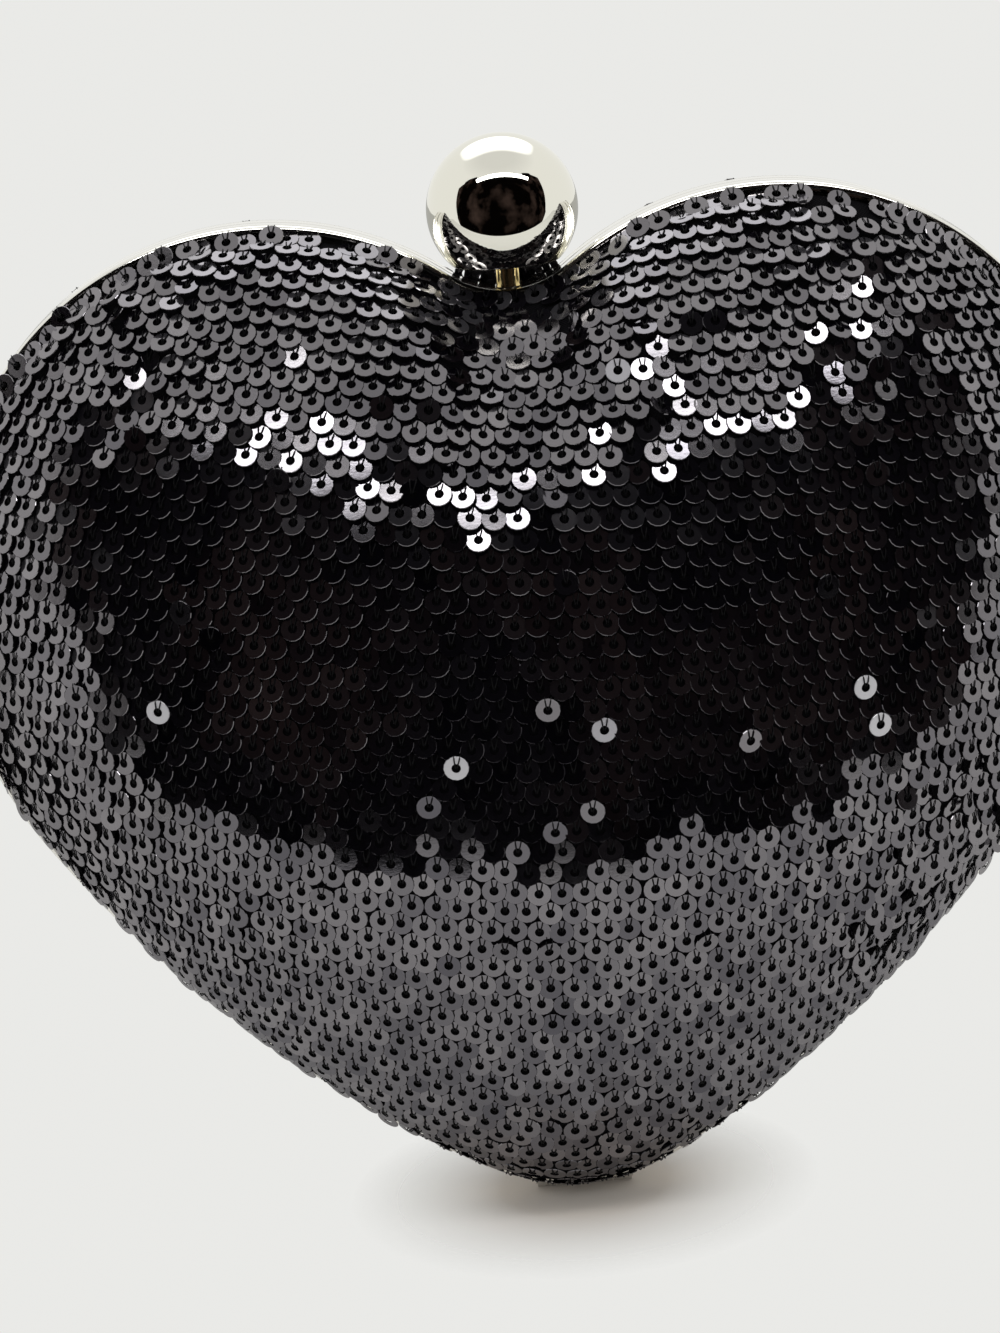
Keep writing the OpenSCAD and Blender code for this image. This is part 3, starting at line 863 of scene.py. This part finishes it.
def row_places(rng, extra=()):
    """Every sequin's place, normal, direction along its row and lean, from the top row down."""
    places, normals, alongs = [], [], []
    phase = rng.uniform()
    top = math.floor(float(cloth_field.max()) / ROW_PITCH)
    bottom = math.ceil(float(cloth_field.min()) / ROW_PITCH)
    for row in range(top, bottom - 1, -1):
        distance = row_distance(row)
        z = row_line(distance)
        length = lengths_along(on_knit(FIELD_X, z))
        length -= np.interp(0, FIELD_X, length)
        phase += ROW_SHIFT + LOW_ROW_SHIFT * ramp(distance, 0, SMILE_FROM)
        first = math.ceil(length[0] / SEQUIN_PITCH - phase)
        last = math.floor(length[-1] / SEQUIN_PITCH - phase)
        at = (np.arange(first, last + 1) + phase) * SEQUIN_PITCH
        at = at + rng.normal(0, ALONG_SPREAD, len(at))
        x = np.interp(at, length, FIELD_X)
        z_here = np.interp(x, FIELD_X, z) + rng.normal(0, HEIGHT_SPREAD, len(at))
        inside = knit_share(x, z_here) < INSIDE_SHARE
        x, z_here = x[inside], z_here[inside]
        if not len(x):
            continue
        normal, k = knit_normal(x, z_here)
        room = np.where(z_here > lobe_c[1], LOBE_ROOM, EDGE_ROOM)
        keep = edge_distance(k, x, z_here) > room + rng.normal(0, ROOM_SPREAD, len(x))
        x, z_here, normal = x[keep], z_here[keep], normal[keep]
        ahead = x + NEAR_STEP
        along = on_knit(ahead, np.interp(ahead, FIELD_X, z)) - on_knit(x, np.interp(x, FIELD_X, z))
        places.append(on_knit(x, z_here))
        normals.append(normal)
        alongs.append(lay_flat(along, normal))
    leans = [np.zeros(len(p)) for p in places]
    for parts in (rim_row(rng), *extra):
        for whole, part in zip((places, normals, alongs, leans), parts):
            whole.append(part)
    return tuple(np.concatenate(p) for p in (places, normals, alongs, leans))


front_rows = row_places(np.random.default_rng(7))
print("sequins on a face:", len(front_rows[0]))

# %% [markdown]
# ## One sequin and its stitch
# A sequin is a thin flat ring. A circle of edges at its hole is extruded out to the rim, down and back in,
# and the last circle is bridged to the first. Its stitch is two short bent threads that come up through the
# hole and dive under the sequin above.

# %% Templates
SEQUIN_R = 2.0 * MM
FLAT_R = 1.92 * MM
HOLE_R = 0.74 * MM
SEQUIN_T = 0.12 * MM
SEQUIN_SIDES = 16
THREAD_R = 0.11 * MM
THREAD_SIDES = 4
STITCH_PATH = ((0.1, -0.15, -0.32), (0.16, 0.3, 0.1), (0.3, 0.85, 0.2), (0.42, 1.5, 0.2), (0.5, 2.2, -0.25))


def sequin_template():
    """A flat ring with a bevelled outer rim, as one closed strip of faces swept round the hole."""
    bm = bmesh.new()

    def circle(radius, z):
        turns = [2 * math.pi * i / SEQUIN_SIDES for i in range(SEQUIN_SIDES)]
        return [(radius * math.cos(a), radius * math.sin(a), z) for a in turns]

    half = SEQUIN_T / 2
    section = ((HOLE_R, half), (FLAT_R, half), (SEQUIN_R, -half), (HOLE_R, -half))
    sweep(bm, [circle(radius, z) for radius, z in section], closed=True)
    return to_mesh("sequin", bm)


def stitch_template():
    """Two bent threads, each a small four sided tube, with Y up the dome and Z out of it."""
    bm = bmesh.new()
    for way in (-1, 1):
        path = [Vector((way * x, y, z)) * MM for x, y, z in STITCH_PATH]
        rings = []
        for i, here in enumerate(path):
            direction = path[min(i + 1, len(path) - 1)] - path[max(i - 1, 0)]
            turn = direction.to_track_quat("Z", "Y")
            rings.append([
                here + turn @ (THREAD_R * Vector((math.cos(a), math.sin(a), 0)))
                for a in (2 * math.pi * j / THREAD_SIDES for j in range(THREAD_SIDES))
            ])
        first, last = sweep(bm, rings)
        for ring in (first, last):
            bmesh.ops.contextual_create(bm, geom=ring_edges(bm, ring))
    return to_mesh("stitch", bm)


sequin_shape, stitch_shape = sequin_template(), stitch_template()
print("sequin", len(sequin_shape.polygons), "faces, stitch", len(stitch_shape.polygons), "faces")

# %% [markdown]
# ## Black sequins
# The film reflects a fifth of the light at its face, more at a slant. Each sequin has a shade of its own, kept
# as an attribute of its points: it sets how strongly and how sharply the sequin mirrors. Towards the sides and
# the top the shades are raised, which is painted light. The highest shade is kept for a few sequins that are
# laid flat and painted pale grey, a painted highlight.

# %% Sequin and thread finishes
# The shade of the few sequins painted pale grey: a painted highlight.
PALE_HIGHLIGHT_SHADE = 1.0


def sequin_finish():
    """Glossy black film, whose roughness, colour and tint of reflection follow each sequin's shade."""
    material, tree, shader = new_material("black_sequins", (0.002, 0.002, 0.003), 0.08, {"IOR": 2.9})
    shade = add_node(tree, "Attribute", attribute_name="shade").outputs["Fac"]
    tree.links.new(spread(tree, shade, 0.05, 0.2, 0, PALE_HIGHLIGHT_SHADE), shader.inputs["Roughness"])
    # At the highest shade the film turns pale grey with a white tint of reflection: a painted highlight.
    for socket, colors in (
        ("Base Color", ((0.0004, 0.0004, 0.0009), (0.0018, 0.0014, 0.0026), (0.34, 0.33, 0.36))),
        ("Specular Tint", ((0.46, 0.44, 0.50), (1.0, 0.95, 1.0), (1, 1, 1))),
    ):
        tones = add_node(tree, "ValToRGB", shade)
        tones.color_ramp.elements.new(PALE_HIGHLIGHT_SHADE / 2)
        for stop, place, color in zip(tones.color_ramp.elements, (0, PALE_HIGHLIGHT_SHADE / 2, PALE_HIGHLIGHT_SHADE), colors):
            stop.position = place
            stop.color = (*color, 1)
        tree.links.new(tones.outputs["Color"], shader.inputs[socket])
    scratches = object_noise(tree, 1300, 2, (1, 1, 2.4))
    add_bump(tree, shader, scratches, 0.06, 0.03 * MM)
    return material


black_sequins = sequin_finish()
black_thread = bumpy(
    "black_thread", (0.003, 0.0028, 0.0035), 0.45, grain=5200, detail=1, strength=0.4, depth=0.04 * MM,
    sockets={"Specular IOR Level": 0.15},
)
print("the face wears", black_sequins.name, "and", black_thread.name)

# %% [markdown]
# ## Sewing them on
# No two sequins lie alike, and the sparkle comes from that. Each has its own small tilt and roll, drawn from
# seeded random numbers so that every run gives the same face, and a few messy places have larger ones. All
# copies of a template go into one mesh, which Blender draws faster than thousands of objects.

# %% Tilt, roll and height of each sequin
KNIT_GAP = 0.12 * MM
LAP_ROLL = -1.0 * DEG
FAN_ROLL = 7 * DEG / (70 * MM)
TILT_SPREAD = 1.7 * DEG
ROLL_SPREAD = 1.6 * DEG
LOOSE_SHARE = 0.018
LOOSE_LIFT = 0.5 * MM
LOOSE_TILT, LOOSE_TILT_SPREAD, LOOSE_ROLL_SPREAD = -4 * DEG, 7 * DEG, 9 * DEG
# Where the rows are in a mess: X and Z, how far it reaches, the spread of its tilts in degrees and their mean
MESSY_PLACES = (
    ((68, 62), 13, 13, 6),
    ((50, 44), 9, 12, 4),
    ((-4, 20), 12, 7, 0),
    ((22, 8), 10, 9, 0),
    ((-72, 78), 10, 5, 0),
    ((-60, 150), 14, 9, 0),
    ((52, 152), 16, 9, 0),
    ((-15, 128), 12, 6, 0),
    ((-9, 143), 10, 7, 0),
    ((8, 144), 11, 8, -3),
    ((0, 151), 7, 8, -34),
    ((18, 136), 11, 10, -2),
    ((-2, 131), 12, 5, 5),
)
BACK_MESS = 0.5
SIDE_FROM_X, SIDE_FULL_X = 55 * MM, 85 * MM
SIDE_TOP_Z, SIDE_GONE_Z = 105 * MM, 125 * MM
SIDE_EASE = 0.6
MOST_EDGE_TILT = 24 * DEG
EDGE_LIFT = 0.1 * MM
RIPPLE_TILT, RIPPLE_ROLL = 1.5 * DEG, 1.6 * DEG
RIPPLE_X, RIPPLE_Z = 7 * MM, 9 * MM
FLAT_PLACES = ((-21, 138), (-12.5, 137), (27, 145.5), (32, 145))
# Sequins laid flat and painted pale grey: a painted highlight.
PALE_HIGHLIGHT_PLACES = ((-60.5, 94), (9, 87.5), (-14.5, 82), (48.5, 88), (53, 83), (16, 141))
FLAT_TILT, FLAT_ROLL = -3 * DEG, 2 * DEG


def nearest(places, spots):
    """The sequins that lie nearest to the spots, which are given in X and Z."""
    return [int(np.argmin(np.hypot(places[:, 0] - x * MM, places[:, 2] - z * MM))) for x, z in spots]


def sequin_turns(rng, places, leans, side):
    """Tilt and roll of every sequin and its height over the knit. Some lie loose and lean the wrong way."""
    count = len(places)
    x, z = places[:, 0], places[:, 2]
    aside = ramp(np.abs(x), SIDE_FROM_X, SIDE_FULL_X) * ramp(z, SIDE_GONE_Z, SIDE_TOP_Z)
    tilt = lap_tilt(z) * (1 - SIDE_EASE * aside) + rng.normal(0, TILT_SPREAD, count)
    roll = LAP_ROLL - side * FAN_ROLL * x + rng.normal(0, ROLL_SPREAD, count)
    u, v = x / RIPPLE_X, z / RIPPLE_Z
    tilt += RIPPLE_TILT * np.sin(u + 1.7 * np.sin(0.8 * v + 0.4)) * np.cos(v + 0.9 * np.sin(0.5 * u))
    roll += RIPPLE_ROLL * np.cos(0.9 * u + 1.2 * np.sin(1.1 * v)) * np.sin(0.7 * v + np.sin(0.6 * u))
    share = 1 if side < 0 else BACK_MESS
    for (spot_x, spot_z), radius, degrees, mean in MESSY_PLACES:
        near = share * np.exp(-((x / MM - spot_x) ** 2 + (z / MM - spot_z) ** 2) / radius ** 2)
        tilt += near * (rng.normal(0, degrees * DEG, count) + mean * DEG)
        roll += near * rng.normal(0, degrees * DEG, count)
    loose = rng.uniform(size=count) < LOOSE_SHARE
    tilt[loose] = rng.normal(LOOSE_TILT, LOOSE_TILT_SPREAD, loose.sum())
    roll[loose] = rng.normal(0, LOOSE_ROLL_SPREAD, loose.sum())
    if side < 0:
        flat = nearest(places, FLAT_PLACES + PALE_HIGHLIGHT_PLACES)
        tilt[flat], roll[flat], loose[flat] = FLAT_TILT, FLAT_ROLL, True
    at_edge = leans != 0
    tilt -= leans
    tilt[at_edge] = np.clip(tilt[at_edge], -MOST_EDGE_TILT, MOST_EDGE_TILT)
    lift = KNIT_GAP + SEQUIN_R * np.sin(np.abs(tilt)) + np.where(at_edge, EDGE_LIFT, LOOSE_LIFT * loose)
    return -tilt, roll, lift


# The flat and the pale places both lie flat; the pale ones are painted pale grey, a painted highlight.
print("messy places:", len(MESSY_PLACES), "face down or flat:", len(FLAT_PLACES + PALE_HIGHLIGHT_PLACES), "sequins")

# %% Stamp the copies
def stamp_all(name, shape, places):
    """One mesh with a copy of a template mesh at every place."""
    bm = bmesh.new()
    for place in places:
        shape.transform(place)
        bm.from_mesh(shape)
        shape.transform(place.inverted())
    return to_mesh(name, bm, outwards=False)


def sequin_matrices(places, normals, alongs, tilt, roll, lift, spin, side):
    """Where each sequin lies: X along the row, Y up the dome, Z out of it, tilted by its own small angles."""
    matrices, seats = [], []
    flip = Vector((1, -side, 1))
    for i in range(len(places)):
        out, along = Vector(normals[i]) * flip, Vector(alongs[i]) * flip * -side
        up = out.cross(along)
        seat = Matrix((along, up, out)).transposed().to_4x4()
        lean = Matrix.Rotation(tilt[i], 4, "X") @ Matrix.Rotation(roll[i], 4, "Y")
        seat = Matrix.Translation(Vector(places[i]) * flip + float(lift[i]) * out) @ seat @ lean
        matrices.append(seat @ Matrix.Rotation(spin[i], 4, "Z"))
        seats.append(seat)
    return matrices, seats


def shade_attribute(mesh, values, per_copy):
    """Gives each copy in a stamped mesh its own shade."""
    attribute = mesh.attributes.new("shade", "FLOAT", "POINT")
    attribute.data.foreach_set("value", np.repeat(values, per_copy).astype(np.float32))


# %% Lay and sew the sequins
FULL_SHADE = 0.5
SHADE_SHAPE = 1.7
# Towards the sides and the top, sequin shades are raised: painted light.
PAINTED_LIGHT_FROM_Z = 122 * MM
PAINTED_LIGHT_SHADE = 0.22
PAINTED_LIGHT_CAP = FULL_SHADE + 0.04


def lay_sequins(word, side, body, rows, rng):
    """All sequins and stitches of one face, in pieces that stay small enough."""
    places, normals, alongs, leans = rows
    tilt, roll, lift = sequin_turns(rng, places, leans, side)
    spin = rng.uniform(0, 2 * math.pi, len(places))
    shades = rng.beta(SHADE_SHAPE, SHADE_SHAPE, len(places)) * FULL_SHADE
    # Sequins at the sides and the top get higher shades, so they mirror more strongly and turn a little grey:
    # painted light.
    painted_light_share = np.maximum(np.abs(places[:, 0]) - SIDE_FROM_X, places[:, 2] - PAINTED_LIGHT_FROM_Z)
    painted_light_share = ramp(painted_light_share, 0, SIDE_FULL_X - SIDE_FROM_X)
    shades = np.minimum(shades + PAINTED_LIGHT_SHADE * painted_light_share, PAINTED_LIGHT_CAP)
    if side < 0:
        # A few sequins are painted pale grey: a painted highlight.
        shades[nearest(places, PALE_HIGHLIGHT_PLACES)] = PALE_HIGHLIGHT_SHADE
    matrices, seats = sequin_matrices(places, normals, alongs, tilt, roll, lift, spin, side)
    pieces = []
    half = len(places) // 2
    for part, (start, end) in (("upper", (0, half)), ("lower", (half, len(places)))):
        name = f"{word}_sequins_{part}"
        mesh = stamp_all(name, sequin_shape, matrices[start:end])
        shade_attribute(mesh, shades[start:end], len(sequin_shape.vertices))
        pieces.append(to_piece(name, mesh, black_sequins))
    name = word + "_stitches"
    mesh = stamp_all(name, stitch_shape, seats)
    mesh.shade_smooth()
    pieces.append(to_piece(name, mesh, black_thread))
    for piece in pieces:
        belong(piece, body)
    print(word, "face:", len(places), "sequins,", [len(p.data.polygons) for p in pieces], "faces")
    return pieces


def make_cover(word, side, body, rows, seed):
    """The knit of one face with its sequins."""
    knit = layer_skin(word + "_knit", KNIT_INSET, KNIT_T, side, RIM_Y, black_knit)
    belong(knit, body, word + "_sequin_cover")
    sequins = lay_sequins(word, side, body, rows, np.random.default_rng(seed))
    declare_cloth(knit, KNIT_INSET)


make_cover("front", -1, "front_half", front_rows, 11)
back_rows = row_places(np.random.default_rng(8), (notch_tuft(),))
make_cover("back", 1, "back_half", back_rows, 12)

# %% [markdown]
# ## The ball clasp
# The ball is a polished hollow sphere, cut flat below, where it sits on a gilt collar. Its flat underside is
# rough and painted dark: a painted shade for the dark gap under the ball.

# %% Ball
BALL_R = 12.1 * MM
BALL_CUT = 3.6 * MM
BALL_FORWARD = 0.5 * MM
COLLAR_TOP = 4.05 * MM
BALL_EDGE_R = 0.25 * MM
BALL_SIDES, BALL_RINGS = 128, 96
BALL_SHARP = 40
MOST_SIDES = 8
ball_place = Vector((0, -BALL_FORWARD, notch_z + COLLAR_TOP + BALL_R - BALL_CUT))


def make_ball():
    """A sphere, cut flat below, with a small round edge and an underside painted dark as painted shade."""
    bm = bmesh.new()
    place = Matrix.Translation(ball_place)
    bmesh.ops.create_uvsphere(bm, u_segments=BALL_SIDES, v_segments=BALL_RINGS, radius=BALL_R, matrix=place)
    under = ball_place - Vector((0, 0, BALL_R - BALL_CUT))
    geom = bm.verts[:] + bm.edges[:] + bm.faces[:]
    bmesh.ops.bisect_plane(bm, geom=geom, plane_co=under, plane_no=(0, 0, -1), clear_outer=True)
    rim = [e for e in bm.edges if e.is_boundary]
    bmesh.ops.holes_fill(bm, edges=rim)
    bmesh.ops.bevel(bm, geom=rim, offset=BALL_EDGE_R, segments=4, profile=0.5, affect="EDGES", material=-1)
    piece = finish_mesh("polished_ball", bm, mirror_ball, sharp=BALL_SHARP)
    # The big flat face under the ball takes the second material, the painted shade.
    piece.data.materials.append(painted_shade_underside)
    for face in piece.data.polygons:
        if len(face.vertices) > MOST_SIDES:
            face.material_index = 1
    return piece


belong(make_ball(), "clasp_lever", "ball_knob")

# %% Finishes of the pieces that keep their solids
FINISHES = {
    "stem_collar": gilt_brass,
    "chain_eye_left": polished_silver,
    "chain_eye_right": polished_silver,
}
for name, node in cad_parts.items():
    if not node.hide_render:
        node.data.materials.clear()
        node.data.materials.append(FINISHES.get(name, nickel_steel))
        print(name, "wears", node.data.materials[0].name)

# %% [markdown]
# ## Light and background
# The photograph was taken in a small white light tent. Its front is open and dark, its floor ends there, and
# a lamp hangs above the opening. A mirror ball shows the opening as a dark patch in its middle, and the flat
# sequins that face it turn black, while all the others mirror the white tent. The opening is a black curtain
# that only mirror rays see, at the tent's real distance, so the dark zone falls where it does on the purse.

# %% Floor
FLOOR_Z = -1.85 * MM
FLOOR_FRONT = -0.252
FLOOR_BACK = 2.6
FLOOR_HALF = 1.6
FLOOR_FADE = (0.014, 0.040)
# Near the tip the floor is painted darker and warmer: a painted shadow that deepens the purse's real shadow
# there.
PAINTED_SHADOW_TINT, FAR_TINT = (0.72, 0.665, 0.61), (0.80, 0.80, 0.79)
# Behind the purse the floor is painted darker: a painted shade that the mirrors show.
BEHIND_Y, PAINTED_SHADE_BEHIND = (0.05, 0.16), 0.60


def level_panel(middle, width, length):
    """A flat rectangle that lies level."""
    bm = bmesh.new()
    place = Matrix.Translation(middle) @ Matrix.Diagonal((width, length, 1, 1))
    bmesh.ops.create_grid(bm, x_segments=1, y_segments=1, size=0.5, matrix=place)
    return bm


def make_floor():
    """The floor. Near the tip it carries the shadow, deepened by a painted shadow in its colour, and behind
    the purse it is painted darker, a painted shade; further out the camera and soft light pass through.
    """
    middle = (0, (FLOOR_FRONT + FLOOR_BACK) / 2, FLOOR_Z)
    bm = level_panel(middle, 2 * FLOOR_HALF, FLOOR_BACK - FLOOR_FRONT)
    material, tree, shader = new_material("white_floor", FAR_TINT, 0.9)
    place = add_node(tree, "TexCoord").outputs["Object"]
    distance = add_node(tree, "VectorMath", place, operation="LENGTH").outputs["Value"]
    far = spread(tree, distance, 0, 1, *FLOOR_FADE)
    # The colour runs from the painted shadow near the tip out to the plain far tint.
    tones = [spread(tree, far, painted_shadow_tone, far_tone, 0, 1) for painted_shadow_tone, far_tone in zip(PAINTED_SHADOW_TINT, FAR_TINT)]
    tint = add_node(tree, "CombineColor", *tones).outputs["Color"]
    # The colour is dimmed behind the purse: painted shade.
    split = add_node(tree, "SeparateXYZ", place)
    dim = add_node(tree, "VectorMath", tint, operation="SCALE")
    tree.links.new(spread(tree, split.outputs["Y"], 1, PAINTED_SHADE_BEHIND, *BEHIND_Y), dim.inputs["Scale"])
    tree.links.new(dim.outputs["Vector"], shader.inputs["Base Color"])
    path = add_node(tree, "LightPath").outputs
    rays = add_node(tree, "Math", path["Is Camera Ray"], path["Is Diffuse Ray"], operation="ADD")
    share = add_node(tree, "Math", far, rays.outputs[0], operation="MULTIPLY").outputs[0]
    mix_shaders(tree, share, shader, add_node(tree, "BsdfTransparent"))
    floor = finish_mesh("floor", bm, material, smooth=False)
    floor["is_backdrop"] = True
    return floor


make_floor()

# %% World
TENT_TONE = 0.90
ROOF_TONE = 0.76
ROOF_FADE = (0.75, 0.95)
BACKDROP = 0.82
WARMTH = 0.975


def paint_world():
    """A white tent, a little darker overhead, whose tone is set apart for what the camera sees directly."""
    world = bpy.data.worlds.new("tent")
    bpy.context.scene.world = world
    world.use_nodes = True
    tree = world.node_tree
    background = tree.nodes["Background"]
    background.inputs["Color"].default_value = (1, 1, WARMTH, 1)
    split = add_node(tree, "SeparateXYZ", add_node(tree, "TexCoord").outputs["Generated"])
    tone = spread(tree, split.outputs["Z"], TENT_TONE, ROOF_TONE, *ROOF_FADE)
    tree.links.new(tone, background.inputs["Strength"])
    seen = add_node(tree, "Background", (BACKDROP, BACKDROP, BACKDROP * WARMTH, 1))
    mix_shaders(tree, add_node(tree, "LightPath").outputs["Is Camera Ray"], background, seen)
    return world


print("world", paint_world().name)

# %% Dark opening
OPENING_LEFT, OPENING_RIGHT = -0.76, 0.60
OPENING_EDGE = (
    (-0.64, -0.002), (0.46, -0.002), (OPENING_RIGHT, 0.10), (OPENING_RIGHT, 0.85), (0.53, 0.82), (0.33, 0.70),
    (0.29, 0.545), (-0.29, 0.545), (-0.33, 0.70), (-0.60, 0.82), (OPENING_LEFT, 0.85), (OPENING_LEFT, 0.10),
)
ROOM_TONES, ROOM_BREAKS = (0.001, 0.05), (0.5, 0.76)
WING_EDGE = ((FLOOR_FRONT, 0.14), (-0.20, 0.36), (-0.155, 0.62), (FLOOR_FRONT, 0.80))


def for_mirrors(piece):
    """Marks a piece of the stage that only mirror rays see."""
    piece.visible_camera = False
    piece.visible_diffuse = False
    piece.visible_shadow = False
    piece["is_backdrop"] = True


def make_opening():
    """A black curtain that only mirrors see. It stands for the dark room outside the tent's front."""
    bm = bmesh.new()
    edges = [[(x, FLOOR_FRONT, z) for x, z in OPENING_EDGE]]
    edges += [[(x, y, z) for y, z in WING_EDGE] for x in (OPENING_LEFT, OPENING_RIGHT)]
    for edge in edges:
        bmesh.ops.contextual_create(bm, geom=ring_edges(bm, draw_ring(bm, edge)))
    bmesh.ops.triangulate(bm, faces=bm.faces)
    glow = {"Specular IOR Level": 0, "Emission Color": (1, 0.66, 0.56, 1)}
    material, tree, shader = new_material("dark_room", (0, 0, 0), 1.0, glow)
    dim = spread(tree, object_noise(tree, 6, 3), *ROOM_TONES, *ROOM_BREAKS)
    tree.links.new(dim, shader.inputs["Emission Strength"])
    for_mirrors(finish_mesh("dark_opening", bm, material, smooth=False))


make_opening()

# %% Light panel
PANEL_TONE = 2.1
PANEL_PLACE = Vector((0, 0.28, 0.50))
PANEL_SIZE = (0.50, 0.44)
PANEL_FADE = (0.1, 0.95)


def soften(tree, shader):
    """Lets the panel fade out towards a rounded outline round its middle."""
    place = add_node(tree, "TexCoord").outputs["Object"]
    scale = (2 / PANEL_SIZE[0], 2 / PANEL_SIZE[1], 0)
    shift = [-m * k for m, k in zip(PANEL_PLACE, scale)]
    mapped = add_node(tree, "Mapping", place, shift, None, scale).outputs[0]
    square = add_node(tree, "VectorMath", mapped, mapped, operation="MULTIPLY").outputs[0]
    fourth = add_node(tree, "VectorMath", square, square, operation="DOT_PRODUCT")
    fade = spread(tree, fourth.outputs["Value"], 1, 0, *PANEL_FADE)
    mix_shaders(tree, fade, add_node(tree, "BsdfTransparent"), shader)


def make_panel():
    """The bright end of the tent's roof behind the purse, which only mirrors see."""
    bm = level_panel(PANEL_PLACE, *PANEL_SIZE)
    glow = {"Emission Color": (0.98, 0.99, 1.0, 1), "Emission Strength": PANEL_TONE}
    material, tree, shader = new_material("bright_roof", (0, 0, 0), 1.0, glow)
    soften(tree, shader)
    for_mirrors(finish_mesh("bright_roof", bm, material, smooth=False))


make_panel()

# %% Lamp
LAMP_PLACE = Vector((0.04, -0.235, 0.53))
LAMP_AIM = Vector((0.04, 0, 0.12))
LAMP_SIZE = (0.62, 0.052)
LAMP_POWER = 0.8


def place_lamp():
    """A soft lamp above the opening, turned towards the purse."""
    data = bpy.data.lights.new("tent_lamp", "AREA")
    data.shape = "RECTANGLE"
    data.size, data.size_y = LAMP_SIZE
    data.energy = LAMP_POWER
    lamp = bpy.data.objects.new("tent_lamp", data)
    bpy.context.scene.collection.objects.link(lamp)
    lamp.location = LAMP_PLACE
    lamp.rotation_euler = (LAMP_AIM - LAMP_PLACE).to_track_quat("-Z", "Y").to_euler()
    lamp.visible_camera = False
    return lamp


print("lamp at", tuple(round(v, 3) for v in place_lamp().location))
bpy.context.scene.view_settings.view_transform = "Standard"

# %% Sizes and the end
visual_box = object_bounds()
for word, box in (("solids", cad_box), ("visual", visual_box)):
    print(word, [[round(v / MM, 1) for v in corner] for corner in box])
